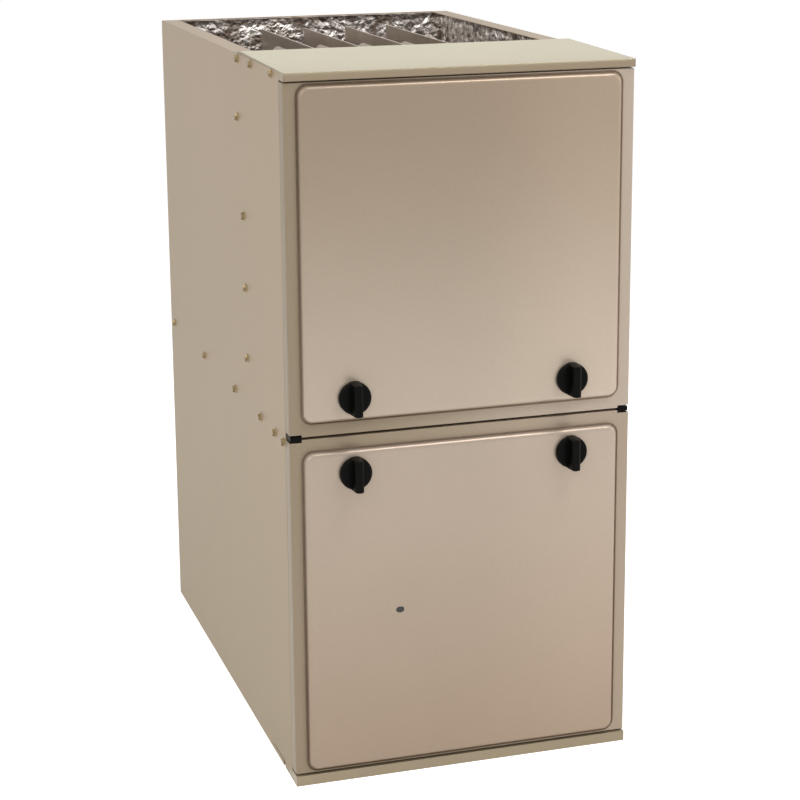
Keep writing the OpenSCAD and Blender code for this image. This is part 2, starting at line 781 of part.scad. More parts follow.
module inducer_wheel() {
    y0 = inducer_y0 + inducer_wall + 4;
    y1 = inducer_y1 - inducer_wall - 4;
    color("#9aa0a4") {
        rod_y(y0, y0 + 1.6, inducer_x, inducer_z, inducer_wheel_r);
        rod_y(inducer_y0 - 24, y1 - 12, inducer_x, inducer_z, inducer_shaft_r);
        rod_y(y0, y1 - 8, inducer_x, inducer_z, inducer_shaft_r + 5);
        for (a = [0 : 30 : 330]) translate([inducer_x, 0, inducer_z]) rotate([0, a, 0])
            slab(24, inducer_wheel_r, y0, y1, -0.8, 0.8);
    }
}

module inducer_motor() {
    y1 = inducer_y0 - lap_gap;
    color("#2f3133") difference() {
        union() {
            translate([inducer_x, y1, inducer_z]) rotate([90, 0, 0]) rotate_extrude() polygon([
                [0, 0], [46, 0], [46, 3], [38, 3], [38, 10], [41, 12], [41, 40], [38, 42], [38, 50],
                [30, 56], [14, 56], [14, 62], [0, 62]]);
            for (a = [45 : 90 : 315]) translate([inducer_x, 0, inducer_z]) rotate([0, a, 0]) {
                rod_y(y1 - 5, y1, 52, 0, 5);
                slab(44, 52, y1 - 3, y1, -4, 4);
            }
        }
        rod_y(y1 - 26, y1 + 1, inducer_x, inducer_z, inducer_shaft_r + run_play);
    }
}

// Round pipe from the inducer's hood to the right side of the cabinet
module vent_pipe() {
    x0 = hood_x1 + lap_gap;
    bead = 1.6;
    color("#a9adb0") translate([x0, vent_y, vent_z]) rotate([0, 90, 0]) rotate_extrude($fn = 96) polygon([
        [vent_r, 0], [vent_r + 7, 0], [vent_r + 7, vent_wall], [vent_r + vent_wall, vent_wall],
        [vent_r + vent_wall, 40], [vent_r + vent_wall + bead, 42], [vent_r + vent_wall, 44],
        [vent_r + vent_wall, half_w - x0], [vent_r, half_w - x0]]);
}

switch_disc_r = 30;
switch_disc_x = -half_w + 54;
switch_disc_z = box_z - box_h / 2 - switch_disc_r - 10;
tap_y = vest_y - 44;

// Two pressed cups clamped round a membrane, with a tap for the hose
module pressure_switch() {
    y1 = vest_y - lap_gap;
    color("#c9c7be") {
        translate([switch_disc_x, y1, switch_disc_z]) rotate([90, 0, 0]) rotate_extrude() polygon([
            [0, 0], [22, 0], [22, 8], [switch_disc_r, 12], [switch_disc_r, 16], [22, 20], [20, 28], [0, 28]]);
        rod_y(tap_y, y1 - 28, switch_disc_x, switch_disc_z, 3.2);
        slab(switch_disc_x - 9, switch_disc_x - 8, y1 - 36, y1 - 28, switch_disc_z - 12, switch_disc_z - 5);
        slab(switch_disc_x + 8, switch_disc_x + 9, y1 - 36, y1 - 28, switch_disc_z - 12, switch_disc_z - 5);
    }
}

// ---- swept tubes ----
function unit(v) = v / norm(v);

// One pass of corner cutting over a line of points
function cut_corners(p) = concat([p[0]], [for (i = [0 : len(p) - 2]) each [
    0.75 * p[i] + 0.25 * p[i + 1], 0.25 * p[i] + 0.75 * p[i + 1]]], [p[len(p) - 1]]);

function heading(p, i) = unit(p[min(i + 1, len(p) - 1)] - p[max(i - 1, 0)]);

// Side vectors carried along the line with the least turn
function carried(p, i, side) = i >= len(p) ? [] :
    let (d = heading(p, i), s = unit(side - (side * d) * d)) concat([s], carried(p, i + 1, s));

function ring_at(c, d, s, r, n) = let (t = cross(d, s))
    [for (k = [0 : n - 1]) c + r * (cos(360 * k / n) * s + sin(360 * k / n) * t)];

module swept_tube(route, r, n = 8) {
    p = cut_corners(cut_corners(route));
    d0 = heading(p, 0);
    first = abs(d0[2]) < 0.9 ? cross(d0, [0, 0, 1]) : cross(d0, [1, 0, 0]);
    s = carried(p, 0, unit(first));
    m = len(p);
    points = [for (i = [0 : m - 1]) each ring_at(p[i], heading(p, i), s[i], r, n)];
    walls = [for (i = [0 : m - 2], k = [0 : n - 1]) each let (a = i * n + k, b = i * n + (k + 1) % n)
        [[a, b + n, b], [a, a + n, b + n]]];
    ends = [[for (k = [0 : n - 1]) k], [for (k = [n - 1 : -1 : 0]) (m - 1) * n + k]];
    polyhedron(points, concat(walls, ends));
}

hose_r = 4.4;
wire_r = 4.5;
wire_pass_x = -half_w + 40;
wire_pass_y = cab_y + 62;
wire_pass_r = 11;

module pressure_hose() {
    y0 = tap_y - lap_gap;
    y1 = inducer_y0 - 14 - lap_gap;
    color("#1d1d1d") swept_tube([
        [switch_disc_x, y0, switch_disc_z], [switch_disc_x, y0 - 20, switch_disc_z],
        [switch_disc_x, y0 - 52, switch_disc_z - 10], [switch_disc_x + 30, y1 - 34, switch_disc_z - 30],
        [nipple_x, y1 - 30, nipple_z], [nipple_x, y1 - 14, nipple_z], [nipple_x, y1, nipple_z]], hose_r);
}

// ---- blower ----
house_wall = 1.2;
house_w = wheel_w + 2 * wheel_play + 2 * house_wall;
cutoff_a = 100;
scroll_r0 = wheel_r + cutoff_gap + house_wall;
scroll_r1 = scroll_r0 + scroll_growth;
shaft_y = back_y - sheet - scroll_back - scroll_r1;
house_top = deck_z - sheet - lap_gap;
outlet_x = house_w / 2 - house_wall;
outlet_y0 = shaft_y + scroll_r0 * cos(cutoff_a) + house_wall;
outlet_y1 = shaft_y + scroll_r1 - house_wall;
inlet_r = wheel_r - blade_d;
house_lip = 12;

// Scroll that widens steadily from the cutoff round to the outlet
module scroll_outline(g) {
    spiral = [for (a = [cutoff_a : 10 : 360])
        let (r = scroll_r0 - g + scroll_growth * (a - cutoff_a) / (360 - cutoff_a))
            [shaft_y + r * cos(a), shaft_z + r * sin(a)]];
    polygon(concat(spiral, [[shaft_y + scroll_r1 - g, house_top + (g > 0 ? 1 : 0)],
                            [outlet_y0 - house_wall + g, house_top + (g > 0 ? 1 : 0)]]));
}

module blower_housing() {
    color("#a9adb0") difference() {
        union() {
            along_x(-house_w / 2, house_w / 2) scroll_outline(0);
            // Flanges that hang the housing under the deck
            slab(-house_w / 2 - house_lip, house_w / 2 + house_lip, outlet_y0 - house_wall,
                 outlet_y1 + house_wall, house_top - 1.5, house_top);
        }
        along_x(-outlet_x, outlet_x) scroll_outline(house_wall);
        rod_x(-house_w / 2 - 1, house_w / 2 + 1, shaft_y, shaft_z, inlet_r);
    }
    // Turned-in inlet rings
    color("#a9adb0") both_sides() translate([-house_w / 2, shaft_y, shaft_z]) rotate([0, 90, 0])
        rotate_extrude($fn = 96) polygon([
            [inlet_r, 0], [inlet_r + 6, 0], [inlet_r + 3, 2], [inlet_r + 1.2, 6], [inlet_r, 6]]);
}

// One forward curved blade in the wheel's own plane
function blade_edge(off) = [for (k = [0 : 4])
    let (r = inlet_r + 0.5 + k * (blade_d - 1) / 4, a = 14 * pow(k / 4, 2) - 3 * k / 4 + off / r * 57.3)
        [r * cos(a), r * sin(a)]];

module blade_outline() {
    low = blade_edge(-0.5);
    high = blade_edge(0.5);
    polygon(concat(low, [for (k = [4 : -1 : 0]) high[k]]));
}

hub_r = 17;
hub_len = 38;
plate_t = 1.6;

module blower_wheel() {
    ring_t = 4;
    reach = wheel_w / 2 - ring_t + 0.5;
    color("#8d9194") translate([0, shaft_y, shaft_z]) rotate([90, 0, 90]) difference() {
        union() {
            for (i = [0 : blade_n - 1]) rotate(i * 360 / blade_n)
                translate([0, 0, -reach]) linear_extrude(2 * reach) blade_outline();
            for (side = [-1, 1]) translate([0, 0, side * (wheel_w / 2 - ring_t / 2)]) difference() {
                cylinder(h = ring_t, r = wheel_r, center = true, $fn = 96);
                cylinder(h = ring_t + 1, r = inlet_r, center = true, $fn = 96);
            }
            cylinder(h = plate_t, r = inlet_r + 3, center = true, $fn = 96);
            cylinder(h = hub_len, r = hub_r, center = true);
        }
        cylinder(h = hub_len + 1, r = shaft_r + 0.03, center = true);
        for (a = [0 : 60 : 300]) rotate(a) translate([(hub_r + inlet_r) / 2, 0, 0])
            cylinder(h = 5, r = 18, center = true);
    }
}

motor_x0 = hub_len / 2 + 5;
motor_x1 = motor_x0 + motor_len;
shaft_end = motor_x0 + 44;

module blower_shaft() {
    color("#c4c7c9") rod_x(-hub_len / 2 - 6, shaft_end, shaft_y, shaft_z, shaft_r);
}

module blower_motor() {
    color("#2f3133") difference() {
        union() {
            translate([motor_x0, shaft_y, shaft_z]) rotate([0, 90, 0]) rotate_extrude($fn = 72) polygon([
                [0, 0], [motor_r - 22, 0], [motor_r - 8, 6], [motor_r - 2, 16], [motor_r, 20],
                [motor_r, motor_len - 20], [motor_r - 2, motor_len - 16], [motor_r - 8, motor_len - 6],
                [motor_r - 22, motor_len], [0, motor_len]]);
            rod_x(motor_x1 - 1, motor_x1 + 5, shaft_y, shaft_z, 16);
        }
        rod_x(motor_x0 - 1, shaft_end + 1, shaft_y, shaft_z, shaft_r + run_play);
        for (a = [0 : 30 : 330]) translate([motor_x1 - 3, shaft_y, shaft_z]) rotate([a, 0, 0])
            slab(0, 9, motor_r - 34, motor_r - 20, -2.5, 2.5);
    }
}

band_w = 14;
band_x = house_w / 2 + 3;

// Steel band round the motor with three arms to the housing's side
module motor_mount() {
    arm_x0 = house_w / 2 + lap_gap;
    color("#8f9396") difference() {
        union() {
            rod_x(band_x, band_x + band_w, shaft_y, shaft_z, motor_r + 2.4);
            for (a = [90, 210, 330]) translate([0, shaft_y, shaft_z]) rotate([a, 0, 0]) {
                slab(arm_x0, arm_x0 + 3, motor_r + 1, inlet_r + 22, -9, 9);
                slab(arm_x0, band_x + band_w, motor_r + 1, motor_r + 5, -9, 9);
            }
        }
        rod_x(arm_x0 - 1, band_x + band_w + 1, shaft_y, shaft_z, motor_r + lap_gap);
    }
}

// Run capacitor in its strap on the left side of the housing
module capacitor() {
    x = -house_w / 2 - lap_gap - 25;
    can_y = shaft_y - 80;
    color("#b9bcbe") {
        rod_z(shaft_z + 60, shaft_z + 128, x, can_y, 22);
        rod_z(shaft_z + 128, shaft_z + 131, x, can_y, 23.4);
        for (dy = [-6, 6]) slab(x - 0.5, x + 0.5, can_y + dy - 3, can_y + dy + 3,
                                shaft_z + 131, shaft_z + 140);
        slab(x, x + 25, can_y - 8, can_y + 8, shaft_z + 84, shaft_z + 100);
    }
}

// ---- controls ----
control_y = cab_y + 24;
control_t = 1.2;
control_x = 150;
control_z0 = deck_z - 150;
control_top = deck_z - sheet - lap_gap;
board_x0 = -110;
board_x1 = 20;
board_z0 = deck_z - 140;
board_z1 = deck_z - 42;
board_gap = 6;
board_t = 1.6;
switch_x = 70;
switch_z = deck_z - 54;
switch_w = 20;
switch_h = 26;
plunger_r = 3;
plunger_in = 9;

// Plate under the deck that carries the controls
module control_panel() {
    color("#a9adb0") {
        slab(-control_x, control_x, control_y, control_y + control_t, control_z0, control_top);
        slab(-control_x, control_x, control_y, control_y + 16, control_top - control_t, control_top);
        both_sides() slab(-control_x, -control_x + control_t, control_y, control_y + 12, control_z0, control_top);
    }
}

// Circuit board on four posts, with relays, terminals and fuse
module control_board() {
    y = control_y - board_gap;
    color("#2f6b3c") {
        slab(board_x0, board_x1, y - board_t, y, board_z0, board_z1);
        for (x = [board_x0 + 6, board_x1 - 6], z = [board_z0 + 6, board_z1 - 6])
            rod_y(y, control_y - lap_gap / 2, x, z, 3);
        for (i = [0 : 2]) slab(board_x0 + 10 + i * 24, board_x0 + 29 + i * 24, y - board_t - 5, y - board_t,
                               board_z1 - 34, board_z1 - 18);
        slab(board_x0 + 8, board_x1 - 30, y - board_t - 5, y - board_t, board_z0 + 5, board_z0 + 14);
        slab(board_x1 - 24, board_x1 - 8, y - board_t - 4, y - board_t, board_z0 + 30, board_z0 + 56);
        for (i = [0 : 5]) slab(board_x0 + 12 + i * 14, board_x0 + 13 + i * 14, y - board_t - 5, y - board_t,
                               board_z0 + 32, board_z0 + 38);
        rod_y(y - board_t - 5, y - board_t, board_x1 - 16, board_z1 - 20, 6);
    }
}

// Control transformer behind the plate: laminated core and coil
module transformer() {
    x = -70;
    y0 = control_y + control_t + lap_gap;
    z = deck_z - 74;
    color("#4a4038") {
        slab(x - 30, x + 30, y0 + 10, y0 + 34, z - 26, z + 26);
        slab(x - 17, x + 17, y0 + 2, y0 + 42, z - 17, z + 17);
        slab(x - 38, x + 38, y0, y0 + 2, z - 8, z + 8);
        slab(x - 30, x + 30, y0, y0 + 12, z - 8, z + 8);
    }
}

// Open-fronted box for the mains wires behind the entry in the right side
module junction_box() {
    x1 = in_x - lap_gap;
    x0 = x1 - 38;
    y0 = wire_y - 30;
    z0 = deck_z + lap_gap;
    z1 = z0 + 40;
    color("#a9adb0") difference() {
        slab(x0, x1, y0, y0 + 64, z0, z1);
        slab(x0 + 1.2, x1 - 1.2, y0 - 1, y0 + 62.8, z0 + 1.2, z1 - 1.2);
        rod_x(x1 - 3, x1 + 1, wire_y, wire_z, wire_hole_r);
    }
}

// Door switch: its plunger breaks the circuit when the lower door is off
module door_switch() {
    color("#20201f") difference() {
        slab(switch_x - switch_w / 2, switch_x + switch_w / 2, cab_y - 2, control_y - lap_gap / 2,
             switch_z - switch_h / 2, switch_z + switch_h / 2);
        rod_y(cab_y - 3, cab_y - 2 + plunger_in + 1, switch_x, switch_z, plunger_r + run_play);
    }
}

module switch_plunger() {
    color("#c33b2e") rod_y(rim_y - panel_rise + door_t + 0.4, cab_y - 2 + plunger_in, switch_x, switch_z,
                           plunger_r);
}

// Wires from the board up through the deck to the valve and to the inducer
module harness() {
    yb = control_y - board_gap - board_t - 5 - lap_gap;
    color("#2a2a2c") {
        swept_tube([
            [wire_pass_x, wire_pass_y, deck_z - 60], [wire_pass_x, wire_pass_y, deck_z + 60],
            [wire_pass_x - 12, wire_pass_y - 6, deck_z + 130], [wire_pass_x - 18, wire_pass_y, inducer_z - 94],
            [wire_pass_x - 16, wire_pass_y + 10, inducer_z + 36],
            [wire_pass_x + 20, wire_pass_y + 20, inducer_z + 68],
            [inducer_x - 60, inducer_y0 - 34, inducer_z + 76],
            [inducer_x - 20, inducer_y0 - 32, inducer_z + 70],
            [inducer_x, inducer_y0 - 30, inducer_z + 56], [inducer_x, inducer_y0 - 30, inducer_z + 41 + lap_gap]],
            wire_r);
        swept_tube([
            [wire_pass_x + wire_r - 1, wire_pass_y, deck_z + 24], [wire_pass_x + 24, wire_pass_y, deck_z + 22],
            [wire_pass_x + 50, wire_pass_y - 10, deck_z + 8],
            [-40, wire_pass_y - 30, deck_z + 10], [60, wire_pass_y - 30, deck_z + 8],
            [valve_mid_x - 18, wire_pass_y - 24, deck_z + 10], [valve_mid_x - 12, manifold_y + 6, deck_z + 32],
            [valve_mid_x - 12, manifold_y + 6, burner_z - valve_h / 2 - lap_gap]], wire_r);
        swept_tube([
            [board_x0 + 40, yb, board_z0 + 10], [board_x0 + 40, yb - 6, board_z0 + 10],
            [board_x0 + 30, yb - 7, board_z0 - 4], [-control_x + 30, yb, control_z0 - 12],
            [-control_x + 14, control_y + 14, control_z0 - 10], [-control_x + 2, control_y + 34, control_z0 + 20],
            [wire_pass_x - 4, wire_pass_y - 2, deck_z - 96], [wire_pass_x, wire_pass_y, deck_z - 74],
            [wire_pass_x, wire_pass_y, deck_z - 60]], wire_r);
    }
}

// ---- doors ----
door_back = cab_y - 0.5;
door_bend = 2;
door_hem = 10;
edge_margin = 3.5;
upper_z0 = split_z + door_gap;
upper_z1 = top_z - lip_h - door_gap;
lower_z0 = rail_h + door_gap;
lower_z1 = split_z - door_gap;
knob_x = half_w - knob_in;
knob_upper_z = split_z + knob_off;
knob_lower_z = split_z - knob_off;
stem_hole = stem_r + stem_play;
face_y = rim_y - panel_rise;
sight_x = -half_w + 135;
sight_z = 218;
sight_w = 10.5;
sight_h = 7.6;
pad_t = 8;

// Upright slab with rounded front corners, open towards +Y
module door_body(g, z0, z1) {
    r = door_bend;
    slab(-half_w + g + r, half_w - g - r, rim_y + g, rim_y + g + r + 1, z0, z1);
    slab(-half_w + g, half_w - g, rim_y + g + r, door_back, z0, z1);
    both_sides() rod_z(z0, z1, -half_w + g + r, rim_y + g + r, r);
}

// Raised panel with round corners and sloped edges, rising towards -Y from y
module raised_panel(x, z0, z1, y, rise, slope, r) {
    for (sx = [-1, 1], zc = [z0 + r, z1 - r])
        translate([sx * (x - r), y, zc]) rotate([90, 0, 0]) cylinder(h = rise, r1 = r, r2 = r - slope, $fn = 64);
    translate([0, 0, z0 + r]) linear_extrude(z1 - z0 - 2 * r) polygon([
        [-x, y], [x, y], [x - slope, y - rise], [-x + slope, y - rise]]);
    translate([-x + r, 0, 0]) rotate([90, 0, 90]) linear_extrude(2 * (x - r)) polygon([
        [y, z0], [y, z1], [y - rise, z1 - slope], [y - rise, z0 + slope]]);
}

module door_skin(z0, z1, pz0, pz1, knob_z, block_z) {
    px = half_w - panel_margin;
    notch_h = block_h / 2 - door_gap + 0.6;
    difference() {
        union() {
            door_body(0, z0, z1);
            raised_panel(px, pz0, pz1, rim_y, panel_rise, panel_slope, panel_r);
        }
        difference() {
            door_body(door_t, z0 + door_t, z1 - door_t);
            // Hem that stiffens the open back
            difference() {
                slab(-half_w, half_w, door_back - door_t, cab_y, z0, z1);
                slab(-half_w + door_hem, half_w - door_hem, rim_y, cab_y + 1, z0 + door_hem, z1 - door_hem);
            }
        }
        slab(-half_w + door_hem, half_w - door_hem, door_back - 2, cab_y + 1, z0 + door_hem, z1 - door_hem);
        raised_panel(px - door_t, pz0 + door_t, pz1 - door_t, rim_y + door_t + 0.1, panel_rise + 0.1,
                     panel_slope, panel_r - door_t);
        both_sides() rod_y(face_y - 1, rim_y + 5, -knob_x, knob_z, stem_hole);
        both_sides() slab(-half_w - 1, -half_w + block_w + 2, rim_y - 1, cab_y + 1,
                          block_z - notch_h, block_z + notch_h);
    }
}

module upper_door() {
    color("#b5a694") door_skin(upper_z0, upper_z1, split_z + split_margin, upper_z1 - edge_margin,
                               knob_upper_z, upper_z0);
}

module lower_door() {
    color("#b5a694") difference() {
        door_skin(lower_z0, lower_z1, lower_z0 + edge_margin, split_z - split_margin, knob_lower_z, lower_z1);
        sight_slot(face_y - 1, face_y + 5, 0);
    }
}

// Slot with round ends from y0 to y1, made larger all round by g
module sight_slot(y0, y1, g) {
    r = sight_h / 2 + g;
    half = (sight_w - sight_h) / 2;
    for (side = [-1, 1]) rod_y(y0, y1, sight_x + side * half, sight_z, r);
    slab(sight_x - half, sight_x + half, y0, y1, sight_z - r, sight_z + r);
}

// Clear window pushed into the slot from behind, its flange against the skin
module sight_glass() {
    color("#303436", 0.6) {
        sight_slot(face_y + 0.3, face_y + door_t + 1, -0.15);
        sight_slot(face_y + door_t + 0.05, face_y + door_t + 1.25, 2.5);
    }
}

// Foil faced pads glued inside the doors, clear of the latches
module upper_door_pad() {
    color("silver") slab(-half_w + 34, half_w - 34, face_y + door_t + 0.2, face_y + door_t + pad_t,
                         knob_upper_z + 34, upper_z1 - 24);
}

module lower_door_pad() {
    color("#55534e") slab(-half_w + 34, half_w - 34, face_y + door_t + 0.2, face_y + door_t + pad_t,
                          sight_z + 30, knob_lower_z - 34);
}

// ---- door knobs and latch arms ----
socket_d = 5;
cam_y0 = divider_back + 1.2;
cam_y1 = cam_y0 + cam_t;

// Disc with a rounded rim and a grip bar across it, pointing to -Y
module knob(x, z) {
    r = knob_d / 2;
    rim_round = 2.5;
    y = face_y - knob_gap;
    color("#14140f") translate([x, y, z]) rotate([90, 0, 0]) difference() {
        union() {
            rotate_extrude($fn = 72) union() {
                square([r, knob_base - rim_round]);
                square([r - rim_round, knob_base]);
                translate([r - rim_round, knob_base - rim_round]) circle(r = rim_round, $fn = 32);
            }
            intersection() {
                cylinder(h = knob_base + grip_h, r1 = r + 0.6, r2 = r - 0.4, $fn = 72);
                rotate([90, 0, 0]) linear_extrude(2 * r + 4, center = true) polygon([
                    [-grip_w / 2, 0], [grip_w / 2, 0], [grip_w / 2 - 1.4, knob_base + grip_h - 2],
                    [grip_w / 2 - 3.4, knob_base + grip_h], [3.4 - grip_w / 2, knob_base + grip_h],
                    [1.4 - grip_w / 2, knob_base + grip_h - 2]]);
            }
        }
        translate([0, 0, -1]) cylinder(h = socket_d + 1, r = stem_r + 0.03);
    }
}

// Stem through the door with its washer, and the arm behind the divider rail
module cam(x, z) {
    tip = x - sign(x) * (cam_reach - cam_w / 2);
    color("#b9a66a") {
        rod_y(face_y - knob_gap - socket_d + 0.1, cam_y1 + 1.5, x, z, stem_r);
        rod_y(face_y + door_t + 0.6, face_y + door_t + 2.4, x, z, stem_r + 4);
        slab(min(x, tip), max(x, tip), cam_y0, cam_y1, z - cam_w / 2, z + cam_w / 2);
        rod_y(cam_y0, cam_y1, x, z, cam_w / 2 + 1);
        rod_y(cam_y0, cam_y1, tip, z, cam_w / 2);
        rod_y(cam_y1, cam_y1 + 1.5, x, z, stem_r + 2);
    }
}

module knob_upper_left() { knob(-knob_x, knob_upper_z); }
module knob_upper_right() { knob(knob_x, knob_upper_z); }
module knob_lower_left() { knob(-knob_x, knob_lower_z); }
module knob_lower_right() { knob(knob_x, knob_lower_z); }
module cam_upper_left() { cam(-knob_x, knob_upper_z); }
module cam_upper_right() { cam(knob_x, knob_upper_z); }
module cam_lower_left() { cam(-knob_x, knob_lower_z); }
module cam_lower_right() { cam(knob_x, knob_lower_z); }

// Hex head sheet screw with a washer face, head outside, shank along +Z
module sheet_screw() {
    translate([0, 0, -0.8]) cylinder(h = 0.8, r = screw_r + 1, $fn = 32);
    translate([0, 0, -screw_h]) cylinder(h = screw_h, r = screw_r, $fn = 6);
    cylinder(h = shank_l, r = shank_r, $fn = 24);
}

module side_screws() {
    color("#a48a55") both_sides() {
        at_deck_screws() sheet_screw();
        at_vest_screws() sheet_screw();
        at_cap_screws() sheet_screw();
        at_liner_screw() sheet_screw();
    }
}

wrapper();
base_pan();
top_cap();
divider_rail();
divider_brackets();
divider_blocks();
blower_deck();
vestibule_panel();
liner_back();
liner_left();
liner_right();
heat_cell_1();
heat_cell_2();
heat_cell_3();
heat_cell_4();
collector_box();
burner_rack();
burners();
manifold();
orifices();
gas_valve();
valve_knob();
gas_pipe();
igniter();
flame_sensor();
rollout_switches();
limit_switch();
inducer_housing();
inducer_motor();
inducer_wheel();
vent_pipe();
pressure_switch();
pressure_hose();
blower_housing();
blower_wheel();
blower_shaft();
blower_motor();
motor_mount();
capacitor();
control_panel();
control_board();
transformer();
junction_box();
door_switch();
switch_plunger();
harness();
upper_door();
upper_door_pad();
lower_door();
lower_door_pad();
sight_glass();
knob_upper_left();
knob_upper_right();
knob_lower_left();
knob_lower_right();
cam_upper_left();
cam_upper_right();
cam_lower_left();
cam_lower_right();
side_screws();
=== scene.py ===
"""Looks of an upflow forced air furnace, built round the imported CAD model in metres."""
import math

import bmesh
import bpy
from mathutils import Matrix, Vector, noise


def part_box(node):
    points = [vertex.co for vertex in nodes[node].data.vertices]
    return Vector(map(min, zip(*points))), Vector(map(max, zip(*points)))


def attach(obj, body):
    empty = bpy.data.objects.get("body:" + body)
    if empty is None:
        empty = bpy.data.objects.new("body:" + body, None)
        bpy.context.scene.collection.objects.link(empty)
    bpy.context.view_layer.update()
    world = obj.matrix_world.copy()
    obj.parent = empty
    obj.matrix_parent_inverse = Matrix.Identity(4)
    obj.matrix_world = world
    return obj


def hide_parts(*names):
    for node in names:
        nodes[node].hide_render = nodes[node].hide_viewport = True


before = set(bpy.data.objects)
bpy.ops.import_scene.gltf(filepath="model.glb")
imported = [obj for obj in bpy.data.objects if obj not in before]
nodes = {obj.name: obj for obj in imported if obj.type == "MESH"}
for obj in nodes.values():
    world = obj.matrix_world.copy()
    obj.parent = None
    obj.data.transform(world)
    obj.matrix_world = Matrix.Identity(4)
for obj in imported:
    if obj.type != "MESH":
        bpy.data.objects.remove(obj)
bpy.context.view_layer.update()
scene = bpy.context.scene
MM = 0.001

# ---- camera ----
# Stands left of the front and a little above the top, with a long lens, as for a product picture.
# The place and angles are those that put the cabinet's corners where the picture has them.
camera_place = Vector((-805.9, -2681.2, 1160.6)) * MM
camera_azimuth, camera_elevation, camera_roll = (math.radians(a) for a in (-17.258, 13.265, -0.432))
backward = Vector((math.sin(camera_azimuth) * math.cos(camera_elevation),
                   -math.cos(camera_azimuth) * math.cos(camera_elevation), math.sin(camera_elevation)))
level = Vector((math.cos(camera_azimuth), math.sin(camera_azimuth), 0))
upward = level.cross(-backward)
right = math.cos(camera_roll) * level + math.sin(camera_roll) * upward
upward = math.cos(camera_roll) * upward - math.sin(camera_roll) * level
lens = bpy.data.cameras.new("camera")
lens.lens, lens.sensor_width, lens.shift_y = 94.48, 36.0, -0.1
lens.clip_end = 60
camera = bpy.data.objects.new("camera", lens)
scene.collection.objects.link(camera)
camera.matrix_world = Matrix.Translation(camera_place) @ Matrix((right, upward, backward)).transposed().to_4x4()
scene.camera = camera

# ---- cabinet wrapper, base, divider rail and top cap ----
# Zinc coated steel sheet, coil coated in champagne paint with fine metal flake, then cut, punched and
# folded. The paint is smooth and satin, given painted shade that makes it a little darker low down, and each sheet is
# slightly wavy.


def linear(code):
    """Linear colour with alpha from an sRGB hex code."""
    parts = [int(code[i:i + 2], 16) / 255 for i in (1, 3, 5)]
    return [p / 12.92 if p <= 0.04045 else ((p + 0.055) / 1.055) ** 2.4 for p in parts] + [1.0]


def add(tree, kind, inputs=None, **settings):
    """Adds a node; inputs are sockets to link or plain values, by name or number."""
    node = tree.nodes.new(kind)
    for key, value in settings.items():
        setattr(node, key, value)
    for key, value in (inputs or {}).items():
        if isinstance(value, bpy.types.NodeSocket):
            tree.links.new(value, node.inputs[key])
        else:
            node.inputs[key].default_value = value
    return node


def new_finish(name, **shader_values):
    """A material with one Principled shader: returns it, its tree, its shader and the place on the object."""
    made = bpy.data.materials.new(name)
    made.use_nodes = True
    tree = made.node_tree
    tree.nodes.clear()
    shader = add(tree, "ShaderNodeBsdfPrincipled", {k.replace("_", " "): v for k, v in shader_values.items()})
    add(tree, "ShaderNodeOutputMaterial", {"Surface": shader.outputs[0]})
    return made, tree, shader, add(tree, "ShaderNodeTexCoord").outputs["Object"]


def blend_colours(tree, share, first, second):
    """Colour that goes from first to second as share goes from 0 to 1."""
    return add(tree, "ShaderNodeMix", {0: share, 6: first, 7: second}, data_type="RGBA").outputs[2]


def dress(made, *names):
    """Gives CAD nodes a finish."""
    for name in names:
        for holder in nodes[name].material_slots:
            holder.material = made


